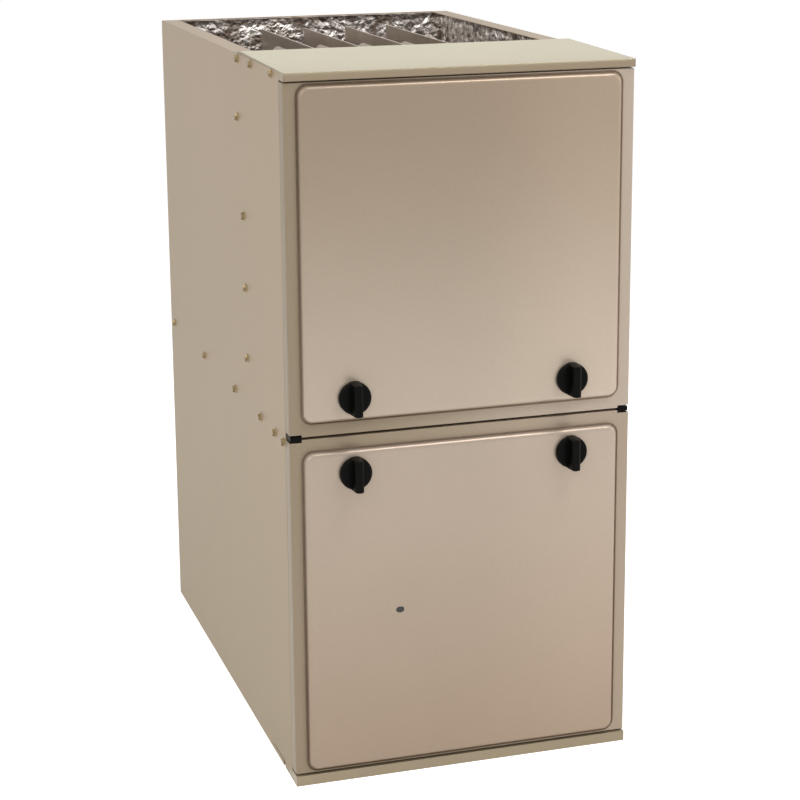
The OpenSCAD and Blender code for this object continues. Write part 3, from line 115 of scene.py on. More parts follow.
def coil_paint(name, low_colour, high_colour, z_low, z_high, metallic=0.35, roughness=0.32, edge_r=0.6 * MM,
               flange_shade=None, rim=None):
    """Satin flake paint whose colour drifts from z_low to z_high as painted light and shade, on a slightly wavy sheet.

    flange_shade is a height and the painted shade colour of what lies above it. rim is the middle and reach of a
    raised panel, its corner radius, the painted shade and painted light colours at the left and right beyond it,
    and how much painted light the panel gains at the right.
    """
    made, tree, shader, place = new_finish(name, Metallic=metallic, Specular_IOR_Level=0.15)
    height = add(tree, "ShaderNodeSeparateXYZ", {0: place}).outputs["Z"]
    # Painted light and shade: the colour changes with height as the lamps light each sheet more or less
    painted_light_drift = add(tree, "ShaderNodeMapRange", {"Value": height, "From Min": z_low, "From Max": z_high},
                interpolation_type="SMOOTHSTEP").outputs["Result"]
    colour = blend_colours(tree, painted_light_drift, linear(low_colour), linear(high_colour))
    if flange_shade:
        # Painted shade: above this height, on the flanges that face up, the paint takes the darker given colour
        over = add(tree, "ShaderNodeMath", {0: height, 1: flange_shade[0]}, operation="GREATER_THAN").outputs[0]
        colour = blend_colours(tree, over, colour, linear(flange_shade[1]))
    if rim:
        # Beyond the panel the colour is painted shade at the left and painted light at the right, and the sheet is a
        # little duller; the panel itself gains painted light towards the right
        middle, reach, corner_r, shaded_left_colour, lit_right_colour, right_painted_light = rim
        away = add(tree, "ShaderNodeVectorMath", {0: place, 1: middle}, operation="SUBTRACT").outputs[0]
        away = add(tree, "ShaderNodeVectorMath", {0: away}, operation="ABSOLUTE").outputs[0]
        away = add(tree, "ShaderNodeVectorMath", {0: away, 1: reach}, operation="SUBTRACT").outputs[0]
        away = add(tree, "ShaderNodeVectorMath", {0: away, 1: (0, 0, 0)}, operation="MAXIMUM").outputs[0]
        away = add(tree, "ShaderNodeVectorMath", {0: away}, operation="LENGTH").outputs["Value"]
        beyond = add(tree, "ShaderNodeMath", {0: away, 1: corner_r}, operation="GREATER_THAN").outputs[0]
        place_x = add(tree, "ShaderNodeSeparateXYZ", {0: place}).outputs["X"]
        across = add(tree, "ShaderNodeMapRange", {"Value": place_x, "From Min": -160 * MM, "From Max": 200 * MM},
                     interpolation_type="SMOOTHSTEP").outputs["Result"]
        painted_light_scale = add(tree, "ShaderNodeMapRange", {"Value": place_x, "From Min": -20 * MM, "From Max": 200 * MM,
                                                "To Min": 1.0, "To Max": right_painted_light}, interpolation_type="SMOOTHSTEP")
        colour = add(tree, "ShaderNodeVectorMath", {0: colour, "Scale": painted_light_scale.outputs["Result"]},
                     operation="SCALE").outputs[0]
        painted_rim_light = blend_colours(tree, across, linear(shaded_left_colour), linear(lit_right_colour))
        colour = blend_colours(tree, beyond, colour, painted_rim_light)
    # Flakes are some 0.03 mm; drawn 1.4 mm wide so that their sparkle shows at all
    flake = add(tree, "ShaderNodeTexVoronoi", {"Vector": place, "Scale": 1 / (1.4 * MM)}).outputs["Color"]
    flake = add(tree, "ShaderNodeSeparateXYZ", {0: flake}).outputs["X"]
    cloud = add(tree, "ShaderNodeTexNoise", {"Vector": place, "Scale": 1 / (90 * MM), "Detail": 3.0}).outputs[0]
    dark = add(tree, "ShaderNodeVectorMath", {0: colour, 1: (0.95, 0.945, 0.94)}, operation="MULTIPLY").outputs[0]
    light = add(tree, "ShaderNodeVectorMath", {0: colour, 1: (1.04, 1.035, 1.03)}, operation="MULTIPLY").outputs[0]
    share = add(tree, "ShaderNodeMath", {0: flake, 1: 0.45, 2: 0.0}, operation="MULTIPLY_ADD").outputs[0]
    share = add(tree, "ShaderNodeMath", {0: cloud, 1: 0.55, 2: share}, operation="MULTIPLY_ADD").outputs[0]
    tree.links.new(blend_colours(tree, share, dark, light), shader.inputs["Base Color"])
    rough = add(tree, "ShaderNodeMapRange", {"Value": flake, "To Min": roughness - 0.012,
                                             "To Max": roughness + 0.012}).outputs["Result"]
    if rim:
        rough = add(tree, "ShaderNodeMath", {0: beyond, 1: 0.12, 2: rough}, operation="MULTIPLY_ADD").outputs[0]
    tree.links.new(rough, shader.inputs["Roughness"])
    # Orange peel of the paint, 3 mm, over the waves of the sheet, 160 mm
    peel = add(tree, "ShaderNodeTexNoise", {"Vector": place, "Scale": 1 / (3 * MM), "Detail": 2.0}).outputs[0]
    waves = add(tree, "ShaderNodeTexNoise", {"Vector": place, "Scale": 1 / (160 * MM), "Detail": 1.0}).outputs[0]
    edge = add(tree, "ShaderNodeBevel", {"Radius": edge_r}, samples=6).outputs[0]
    bump = add(tree, "ShaderNodeBump", {"Height": waves, "Distance": 1.2 * MM, "Strength": 0.5, "Normal": edge})
    bump = add(tree, "ShaderNodeBump", {"Height": peel, "Distance": 0.04 * MM, "Strength": 0.1,
                                        "Normal": bump.outputs[0]})
    tree.links.new(bump.outputs[0], shader.inputs["Normal"])
    return made


# The flanges round the supply opening lie just under the highest ridge of the wrapper
flange_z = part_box("wrapper")[1][2] - 3.2 * MM
# Painted shade: the wrapper is darker low down and on its flanges at the top
dress(coil_paint("painted_steel_cabinet", "#A69579", "#B6A38B", 0.05, 0.85, 0.25, 0.46, flange_shade=(flange_z, "#A08F7B")),
      "wrapper", "divider_rail")
dress(coil_paint("painted_steel_base", "#A3957E", "#A3957E", 0, 0.1), "base_pan")
# Painted shade: the cap's front lip, lower than its top face, is painted darker and browner
dress(coil_paint("painted_steel_cap", "#A3927B", "#B6AF93", 0.8800, 0.8884, edge_r=3 * MM), "top_cap")

# ---- zinc coated plates: deck, vestibule panel, rack, blower housing, mounts and boxes ----
# Hot dip galvanised sheet left bare. The zinc freezes in feathery spangles a few millimetres across,
# each with its own grey and its own shine.


def galvanised(name, pale, dark, spangle):
    """Bare zinc with spangles."""
    made, tree, shader, place = new_finish(name, Metallic=0.9)
    bent = add(tree, "ShaderNodeTexNoise", {"Vector": place, "Scale": 1 / (4 * MM), "Detail": 2.0}).outputs["Color"]
    bent = add(tree, "ShaderNodeVectorMath", {0: bent, 1: (2 * MM, 2 * MM, 2 * MM), 2: place},
               operation="MULTIPLY_ADD").outputs[0]
    cells = add(tree, "ShaderNodeTexVoronoi", {"Vector": bent, "Scale": 1 / spangle}).outputs["Color"]
    cells = add(tree, "ShaderNodeSeparateXYZ", {0: cells})
    tree.links.new(blend_colours(tree, cells.outputs["X"], linear(dark), linear(pale)), shader.inputs["Base Color"])
    rough = add(tree, "ShaderNodeMapRange", {"Value": cells.outputs["Y"], "To Min": 0.28, "To Max": 0.5})
    tree.links.new(rough.outputs["Result"], shader.inputs["Roughness"])
    edge = add(tree, "ShaderNodeBevel", {"Radius": 0.5 * MM}, samples=6).outputs[0]
    bump = add(tree, "ShaderNodeBump", {"Height": cells.outputs["Z"], "Distance": 0.05 * MM, "Strength": 0.2,
                                        "Normal": edge})
    tree.links.new(bump.outputs[0], shader.inputs["Normal"])
    return made


# A patchwork of cool greys, some bright and some dull
zinc = galvanised("galvanised_sheet", "#B9BEC2", "#85898D", 7 * MM)
dress(zinc, "blower_deck", "vestibule_panel", "burner_rack", "blower_housing", "motor_mount", "control_panel",
      "junction_box", "vent_pipe", "divider_brackets")

# ---- heat exchanger cells and collector box ----
# Pairs of pressed aluminised steel shells, crimped at the seam. Pressing leaves them smooth with fine
# draw lines, and the first firing dulls them to a warm taupe, darker where the gas is hottest.


def fired_steel(name, pale, dark, low_z, high_z, metallic=0.75, roughness=0.42):
    """Heat dulled steel with draw lines along Y and a cloudy temper colour."""
    made, tree, shader, place = new_finish(name, Metallic=metallic)
    height = add(tree, "ShaderNodeSeparateXYZ", {0: place}).outputs["Z"]
    warm = add(tree, "ShaderNodeMapRange", {"Value": height, "From Min": low_z, "From Max": high_z}).outputs[0]
    cloud = add(tree, "ShaderNodeTexNoise", {"Vector": place, "Scale": 1 / (45 * MM), "Detail": 4.0}).outputs[0]
    share = add(tree, "ShaderNodeMath", {0: cloud, 1: 0.7, 2: -0.1}, operation="MULTIPLY_ADD").outputs[0]
    share = add(tree, "ShaderNodeMath", {0: warm, 1: 0.35, 2: share}, operation="MULTIPLY_ADD").outputs[0]
    stretch = add(tree, "ShaderNodeMapping", {"Vector": place, "Scale": (1, 0.04, 1)}).outputs[0]
    lines = add(tree, "ShaderNodeTexNoise", {"Vector": stretch, "Scale": 1 / (1.5 * MM), "Detail": 3.0}).outputs[0]
    tree.links.new(blend_colours(tree, share, linear(dark), linear(pale)), shader.inputs["Base Color"])
    rough = add(tree, "ShaderNodeMapRange", {"Value": lines, "To Min": roughness - 0.1, "To Max": roughness + 0.12})
    tree.links.new(rough.outputs["Result"], shader.inputs["Roughness"])
    edge = add(tree, "ShaderNodeBevel", {"Radius": 0.8 * MM}, samples=6).outputs[0]
    bump = add(tree, "ShaderNodeBump", {"Height": lines, "Distance": 0.1 * MM, "Strength": 0.25, "Normal": edge})
    tree.links.new(bump.outputs[0], shader.inputs["Normal"])
    return made


# A soft brownish sheen, drawn out along the seam
dress(fired_steel("aluminised_steel_cells", "#B3A392", "#786859", 0.45, 0.88, 0.6, 0.36), "heat_cell_1", "heat_cell_2",
      "heat_cell_3", "heat_cell_4")
# Cooler at the outlet, so the aluminium still looks grey
dress(fired_steel("aluminised_steel_collector", "#8E9090", "#66686A", 0.7, 0.88), "collector_box")

# ---- gas pipe, valve, manifold, orifices and burners ----
# Gas comes in by an iron pipe, through a die cast valve with moulded coils, to a manifold of the same
# pipe. Turned brass orifices screwed into it each feed a burner pressed from aluminised sheet.


def fitting(name, colour, speck, metallic, roughness, grain, depth, coat=0.0, edge_r=0.5 * MM, gloss=0.5):
    """A finish with a two-tone grain of the given size and depth."""
    made, tree, shader, place = new_finish(name, Metallic=metallic, Coat_Weight=coat, Specular_IOR_Level=gloss)
    cloud = add(tree, "ShaderNodeTexNoise", {"Vector": place, "Scale": 1 / grain, "Detail": 4.0}).outputs[0]
    tree.links.new(blend_colours(tree, cloud, linear(speck), linear(colour)), shader.inputs["Base Color"])
    rough = add(tree, "ShaderNodeMapRange", {"Value": cloud, "To Min": roughness + 0.08, "To Max": roughness - 0.08})
    tree.links.new(rough.outputs["Result"], shader.inputs["Roughness"])
    edge = add(tree, "ShaderNodeBevel", {"Radius": edge_r}, samples=6).outputs[0]
    bump = add(tree, "ShaderNodeBump", {"Height": cloud, "Distance": depth, "Strength": 0.4, "Normal": edge})
    tree.links.new(bump.outputs[0], shader.inputs["Normal"])
    return made


def recolour_beyond(made, axis, limit, colour, metallic, below=False):
    """Gives the part of a finish beyond a plane another colour, as on a piece of two materials."""
    tree = made.node_tree
    shader = next(n for n in tree.nodes if n.type == "BSDF_PRINCIPLED")
    place = next(n for n in tree.nodes if n.type == "TEX_COORD").outputs["Object"]
    run = add(tree, "ShaderNodeSeparateXYZ", {0: place}).outputs[axis]
    share = add(tree, "ShaderNodeMath", {0: run, 1: limit}, operation="LESS_THAN" if below else "GREATER_THAN")
    first = shader.inputs["Base Color"].links[0].from_socket
    tree.links.new(blend_colours(tree, share.outputs[0], first, linear(colour)), shader.inputs["Base Color"])
    metal = add(tree, "ShaderNodeMapRange", {"Value": share.outputs[0], "To Max": metallic,
                                             "To Min": shader.inputs["Metallic"].default_value})
    tree.links.new(metal.outputs[0], shader.inputs["Metallic"])
    return made


# Straw and grey by turns, where the flame has tinted it
dress(fired_steel("aluminised_steel_burners", "#A8A49C", "#7C766E", 0.5, 0.58), "burners")
# Scale from rolling gives it a dull blue black bloom
dress(fitting("black_iron_pipe", "#55565A", "#3A3A3C", 0.7, 0.5, 2 * MM, 0.15 * MM), "manifold", "gas_pipe")
# Tool marks keep a warm and slightly blurred shine
dress(fitting("turned_brass", "#C8A45C", "#A47F3C", 1.0, 0.28, 1.5 * MM, 0.03 * MM), "orifices")
# Tumbled after casting, so it is pale and silky; above coil_z it is moulded black
valve_alloy = fitting("die_cast_alloy", "#B6BABD", "#94989B", 0.85, 0.42, 1.5 * MM, 0.1 * MM)
coil_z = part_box("gas_valve")[1][2] - 25.8 * MM
dress(recolour_beyond(valve_alloy, "Z", coil_z, "#1D1E20", 0.0), "gas_valve")
# Moulded in a polished tool, so its strong colour lies under a clear gloss
dress(fitting("moulded_blue_abs", "#1F46A8", "#193A90", 0.0, 0.3, 2 * MM, 0.03 * MM, 0.3), "valve_knob")

# ---- igniter, flame sensor and switches ----
# The igniter and the sensor stand in fired ceramic holders on the burner rack. The rollout, limit and
# door switches have black nylon housings, and the pressure switch a pale one. Screws hold them all.

# Unglazed, so it is off-white and chalky with no shine
dress(fitting("fired_ceramic", "#E8E3D6", "#D6CFBE", 0.0, 0.6, 1.2 * MM, 0.05 * MM), "igniter", "flame_sensor",
      "pressure_switch")
# So little gloss that only rounded edges show a sheen
moulded_black = fitting("moulded_black_nylon", "#0B0C0A", "#060705", 0.0, 0.36, 0.8 * MM, 0.06 * MM, gloss=0.06)
dress(moulded_black, "rollout_switches", "limit_switch", "door_switch")
# A finely eroded mould makes the red push rod satin
dress(fitting("moulded_red_abs", "#C8402F", "#A93325", 0.0, 0.35, 1.5 * MM, 0.03 * MM), "switch_plunger")

# ---- inducer fan and blower ----
# The small fan, in a painted steel shell, draws the burnt gas out. The large one turns on a ground
# shaft, with its motor in a banded mount beside it and the run capacitor strapped to the scroll.

# Baked enamel, grey and even, with a slight orange peel
dress(fitting("painted_fan_shell", "#66696C", "#54575A", 0.35, 0.42, 3 * MM, 0.1 * MM), "inducer_housing")
# Thin black enamel over rolled steel, with a clear sheen
dress(fitting("painted_motor_shell", "#35373A", "#26282A", 0.2, 0.38, 2.5 * MM, 0.12 * MM, 0.2), "inducer_motor",
      "blower_motor")
# Plated after forming, so its cool shine is cloudy in the corners
dress(fitting("zinc_plated_wheel", "#A9AEB2", "#868B8F", 0.9, 0.36, 4 * MM, 0.05 * MM, edge_r=0.3 * MM),
      "blower_wheel", "inducer_wheel")
# Ground and polished, with small hard highlights
dress(fitting("ground_steel_shaft", "#CDD0D2", "#B4B8BB", 1.0, 0.2, 0.8 * MM, 0.02 * MM), "blower_shaft")
# Deep drawn and left bare, pale and smooth as silk
dress(fitting("drawn_aluminium_can", "#C4C7C9", "#A9ACAE", 0.95, 0.33, 3 * MM, 0.04 * MM), "capacitor")

# ---- control board and transformer ----
# The board is green lacquered glass fibre on four posts, with its black parts soldered to the face.
# The transformer behind the same panel is a stack of iron plates round a coil, dipped in varnish.

# Glassy lacquer over dark green; whatever stands proud of board_face_y is moulded black
green_board = fitting("coated_circuit_board", "#2F7040", "#255833", 0.0, 0.32, 2.5 * MM, 0.03 * MM, 0.4)
board_face_y = -308.2 * MM
dress(recolour_beyond(green_board, "Y", board_face_y, "#26272A", 0.0, below=True), "control_board")
# Brown varnish that has run unevenly over the edges of the plates
dress(fitting("varnished_iron_core", "#54483C", "#3A322A", 0.3, 0.4, 1.5 * MM, 0.1 * MM, 0.3), "transformer")

# ---- pressure hose and wire harness ----
# Black silicone hose from the pressure switch to the fan housing, pushed over both taps, and loose
# bundles of PVC insulated wires from the control board to the gas valve and the fan motor.
hose_r, wire_r, bundle_r, wire_twist = 4.4 * MM, 1.35 * MM, 2.9 * MM, 38.0


def piece(name, made, finish, body, replaced=(), sharp=35, ride=True):
    """A finished object from a bmesh, smooth but for its sharp folds, riding on its body."""
    bmesh.ops.recalc_face_normals(made, faces=made.faces)
    data = bpy.data.meshes.new(name)
    made.to_mesh(data)
    made.free()
    data.shade_smooth()
    data.set_sharp_from_angle(angle=math.radians(sharp))
    data.materials.append(finish)
    thing = bpy.data.objects.new(name, data)
    scene.collection.objects.link(thing)
    if ride:
        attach(thing, body)
        if replaced:
            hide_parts(*replaced)
    return thing


def rounded_route(route):
    """The route's corners cut three times, as a smooth line of points."""
    line = [Vector(p) for p in route]
    for _ in range(3):
        cut = [line[0]]
        for a, b in zip(line, line[1:]):
            cut += [a * 0.75 + b * 0.25, a * 0.25 + b * 0.75]
        line = cut + [line[-1]]
    return line


def tube_along(made, line, radius, sides=10, offset=0.0, twist=0.0, start=0.0):
    """Tube along a line, or one strand of a bundle that winds round it."""
    tangent = (line[1] - line[0]).normalized()
    side = tangent.orthogonal().normalized()
    rings, run = [], 0.0
    for i, point in enumerate(line):
        ahead = (line[min(i + 1, len(line) - 1)] - line[max(i - 1, 0)]).normalized()
        side = (side - ahead * side.dot(ahead)).normalized()
        across = ahead.cross(side)
        if i:
            run += (point - line[i - 1]).length
        turn = start + twist * run
        centre = point + offset * (math.cos(turn) * side + math.sin(turn) * across)
        rings.append([made.verts.new(centre + radius * (math.cos(2 * math.pi * k / sides) * side
                                                        + math.sin(2 * math.pi * k / sides) * across))
                      for k in range(sides)])
    for a, b in zip(rings, rings[1:]):
        for k in range(sides):
            j = (k + 1) % sides
            made.faces.new((a[k], a[j], b[j], b[k]))
    made.faces.new(rings[0])
    made.faces.new(rings[-1])


def mm_route(*route):
    """Points given in mm, in metres."""
    return [tuple(c * MM for c in p) for p in route]


switch_x, switch_tap_z = -165, 746
tap_y, fan_y = -168.35, -204.75
nipple_x, nipple_z = -82, 770
hose_route = mm_route((switch_x, tap_y - 0.2, switch_tap_z), (switch_x, tap_y - 20.2, switch_tap_z),
                      (switch_x, tap_y - 52.2, switch_tap_z - 10), (switch_x + 30, fan_y - 48.2, switch_tap_z - 30),
                      (nipple_x, fan_y - 44.2, nipple_z), (nipple_x, fan_y - 28.2, nipple_z),
                      (nipple_x, fan_y - 14.2, nipple_z))
# Silicone: matt, and never quite clean
hose_rubber = fitting("silicone_hose", "#262625", "#191918", 0.0, 0.5, 1.2 * MM, 0.05 * MM)
made = bmesh.new()
tube_along(made, rounded_route(hose_route), hose_r, 16)
piece("pressure_hose_tube", made, hose_rubber, "cabinet", replaced=("pressure_hose",))

pass_x, pass_y, deck = -179, -262.35, 446
fan_x, fan_z, valve_x = -30, 790, 153
up_route = mm_route((pass_x, pass_y, deck - 60), (pass_x, pass_y, deck + 60), (pass_x - 12, pass_y - 6, deck + 130),
                    (pass_x - 18, pass_y, deck + 250), (pass_x - 16, pass_y + 10, deck + 380),
                    (pass_x + 20, pass_y + 20, deck + 412), (fan_x - 60, fan_y - 34, fan_z + 76),
                    (fan_x - 20, fan_y - 32, fan_z + 70), (fan_x, fan_y - 30, fan_z + 56),
                    (fan_x, fan_y - 30, fan_z + 41.2))
valve_route = mm_route((pass_x + 3.5, pass_y, deck + 24), (pass_x + 24, pass_y, deck + 22),
                       (pass_x + 50, pass_y - 10, deck + 8), (-40, pass_y - 30, deck + 10),
                       (60, pass_y - 30, deck + 8), (valve_x - 18, pass_y - 24, deck + 10),
                       (valve_x - 12, -276.35, deck + 32), (valve_x - 12, -276.35, 503.8))
board_route = mm_route((-70, -313.35, 316), (-70, -319.35, 316), (-80, -320.35, 302), (-120, -313.35, 284),
                       (-136, -286.35, 286), (-148, -266.35, 316), (pass_x - 4, pass_y - 2, 350),
                       (pass_x, pass_y, deck - 74), (pass_x, pass_y, deck - 60))
wire_colours = (("red", "#A8231C"), ("white", "#D9D6CE"), ("black", "#1C1C1C"), ("blue", "#22418F"),
                ("yellow", "#C9A52B"))
for i, (colour_name, code) in enumerate(wire_colours):
    made = bmesh.new()
    for route in (up_route, valve_route, board_route):
        tube_along(made, rounded_route(route), wire_r, 8, offset=bundle_r, twist=wire_twist,
                   start=2 * math.pi * i / len(wire_colours))
    # One plain colour with a waxy sheen
    pvc = fitting("pvc_wire_" + colour_name, code, code, 0.0, 0.4, 2 * MM, 0.02 * MM)
    piece("wires_" + colour_name, made, pvc, "cabinet", replaced=("harness",) if i == 0 else ())

# ---- foil liners ----
# Glass wool board faced with crinkled aluminium foil, cut to size and held to the upper walls by
# screws. Its creases have bright crests and dark folds, as kitchen foil that has been flattened.


def crinkled_foil(name, stain_low, stain_high):
    """Bright foil with fine creases and stains, which a wide span from stain_low to stain_high keeps faint, and
    painted shade along its top edge.
    """
    made, tree, shader, place = new_finish(name, Metallic=0.95)
    folds = add(tree, "ShaderNodeTexVoronoi", {"Vector": place, "Scale": 1 / (12 * MM)},
                feature="DISTANCE_TO_EDGE").outputs[0]
    grain = add(tree, "ShaderNodeTexNoise", {"Vector": place, "Scale": 1 / (6 * MM), "Detail": 4.0}).outputs[0]
    stain_and_shade = add(tree, "ShaderNodeTexNoise", {"Vector": place, "Scale": 1 / (16 * MM), "Detail": 3.0}).outputs[0]
    stain_and_shade = add(tree, "ShaderNodeMapRange", {"Value": stain_and_shade, "From Min": stain_low, "From Max": stain_high}).outputs[0]
    # Painted shade under the top edge of the supply opening, from 874 to 883 mm high, which also leaves the foil
    # rougher there
    height = add(tree, "ShaderNodeSeparateXYZ", {0: place}).outputs["Z"]
    shade = add(tree, "ShaderNodeMapRange", {"Value": height, "From Min": 0.874, "From Max": 0.883, "To Max": 0.45})
    stain_and_shade = add(tree, "ShaderNodeMath", {0: stain_and_shade, 1: shade.outputs[0]}, operation="SUBTRACT").outputs[0]
    colour = blend_colours(tree, stain_and_shade, linear("#7E7066"), linear("#FFF9F3"))
    tree.links.new(colour, shader.inputs["Base Color"])
    rough = add(tree, "ShaderNodeMapRange", {"Value": stain_and_shade, "To Min": 0.42, "To Max": 0.16})
    tree.links.new(rough.outputs["Result"], shader.inputs["Roughness"])
    bump = add(tree, "ShaderNodeBump", {"Height": folds, "Distance": 2.5 * MM, "Strength": 0.8})
    bump = add(tree, "ShaderNodeBump", {"Height": grain, "Distance": 2.5 * MM, "Strength": 0.7,
                                        "Normal": bump.outputs[0]})
    tree.links.new(bump.outputs[0], shader.inputs["Normal"])
    return made


foil = crinkled_foil("crinkled_aluminium_foil", 0.36, 0.62)


def crease(point, size, seed):
    """Height of the folds at a point: ridges of noise at two sizes, from 0 to 1."""
    p = Vector(point) / size + Vector((seed, 2 * seed, 3 * seed))
    return 0.65 * (1 - abs(noise.noise(p)) * 2) + 0.35 * (1 - abs(noise.noise(p * 2.3)) * 2)


def crinkled_board(name, node, open_axis, open_side, finish, body, depth=2.2 * MM, pitch=3.5 * MM, size=14 * MM,
                   corner=None):
    """Board in its CAD solid's place, with folds pressed into the face that looks along open_axis."""
    low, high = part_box(node)
    face, rear = (high, low) if open_side > 0 else (low, high)
    wide = [a for a in range(3) if a != open_axis]
    counts = [max(2, round((high[a] - low[a]) / pitch)) for a in wide]
    made = bmesh.new()
    sheets = []
    for top in (True, False):
        grid = []
        for i in range(counts[0] + 1):
            row = []
            for j in range(counts[1] + 1):
                co = [0, 0, 0]
                co[wide[0]] = low[wide[0]] + (high[wide[0]] - low[wide[0]]) * i / counts[0]
                co[wide[1]] = low[wide[1]] + (high[wide[1]] - low[wide[1]]) * j / counts[1]
                if corner and co[wide[0]] < corner[0]:
                    co[wide[1]] = min(co[wide[1]], corner[1])
                if top:
                    rim = min(i, j, counts[0] - i, counts[1] - j)
                    fold = (1 - crease(co, size, 7)) * min(1, rim / 2)
                    co[open_axis] = face[open_axis] - open_side * depth * min(1, max(0, fold))
                else:
                    co[open_axis] = rear[open_axis]
                row.append(made.verts.new(co))
            grid.append(row)
        sheets.append(grid)
    front, back = sheets
    for grid in sheets:
        for i in range(counts[0]):
            for j in range(counts[1]):
                made.faces.new((grid[i][j], grid[i + 1][j], grid[i + 1][j + 1], grid[i][j + 1]))
    for i in range(counts[0]):
        for j in (0, counts[1]):
            made.faces.new((front[i][j], front[i + 1][j], back[i + 1][j], back[i][j]))
    for j in range(counts[1]):
        for i in (0, counts[0]):
            made.faces.new((front[i][j], front[i][j + 1], back[i][j + 1], back[i][j]))
    bmesh.ops.remove_doubles(made, verts=made.verts, dist=0.02 * MM)
    return piece(name, made, finish, body, replaced=(node,), sharp=28)


cap_corner = (-105.15 * MM, 864.8 * MM)
crinkled_board("foil_liner_back", "liner_back", 1, -1, foil, "cabinet")
crinkled_board("foil_liner_left", "liner_left", 0, 1, foil, "cabinet", corner=cap_corner)
crinkled_board("foil_liner_right", "liner_right", 0, -1, foil, "cabinet", corner=cap_corner)

# ---- doors ----
# Each door is a steel pan, pressed from painted sheet with a raised panel that fills its front, and
# folded back all round with a hem. A groove and a rounded slope lead up to the panel and catch the light.
door_t, skin_t, hem, bend_r = 1 * MM, 0.55 * MM, 10 * MM, 1.1 * MM
side_margin, end_margin, rise, press_r = 16 * MM, 3.5 * MM, 5 * MM, 13 * MM
split_z, split_margin = 447 * MM, 18 * MM
stem_x, stem_from_split, stem_hole_r = 139.5 * MM, 47 * MM, 5.6 * MM
notch_x0, notch_x1, notch_h = 204 * MM, 220 * MM, 3.3 * MM
# Profile of the press line from the rim to the panel, in mm: way inwards and height over the rim
press_line = ((-2.1, 0), (-1.6, -0.5), (-1.2, -1.9), (-0.7, -3.0), (-0.1, -3.0), (0.3, -2.0), (0.7, 0.0), (1.2, 1.7),
              (2.0, 2.95), (3.0, 3.95), (4.2, 4.7), (6.0, 5.0))


def box_mesh(x0, x1, y0, y1, z0, z1):
    """A bmesh box from one corner to the other."""
    made = bmesh.new()
    bmesh.ops.create_cube(made, size=1)
    for v in made.verts:
        v.co = Vector((x0 if v.co.x < 0 else x1, y0 if v.co.y < 0 else y1, z0 if v.co.z < 0 else z1))
    return made


def rod_mesh(start, end, radius):
    """A bmesh rod between two points."""
    made = bmesh.new()
    start, end = Vector(start), Vector(end)
    along = end - start
    turn = along.to_track_quat("Z", "Y").to_matrix().to_4x4()
    bmesh.ops.create_cone(made, cap_ends=True, segments=32, radius1=radius, radius2=radius, depth=along.length,
                          matrix=Matrix.Translation((start + end) / 2) @ turn)
    return made


def settle(thing):
    """Applies a piece's modifiers to its mesh."""
    bpy.context.view_layer.update()
    evaluated = thing.evaluated_get(bpy.context.evaluated_depsgraph_get())
    data = bpy.data.meshes.new_from_object(evaluated)
    thing.modifiers.clear()
    thing.data = data


def ring(made, x0, x1, z0, z1, r, y, steps=8):
    """A rounded rectangle of vertices at depth y."""
    corners = ((x1 - r, z1 - r, 0), (x0 + r, z1 - r, 90), (x0 + r, z0 + r, 180), (x1 - r, z0 + r, 270))
    return [made.verts.new((cx + r * math.cos(math.radians(a + 90 * k / steps)), y,
                            cz + r * math.sin(math.radians(a + 90 * k / steps))))
            for cx, cz, a in corners for k in range(steps + 1)]


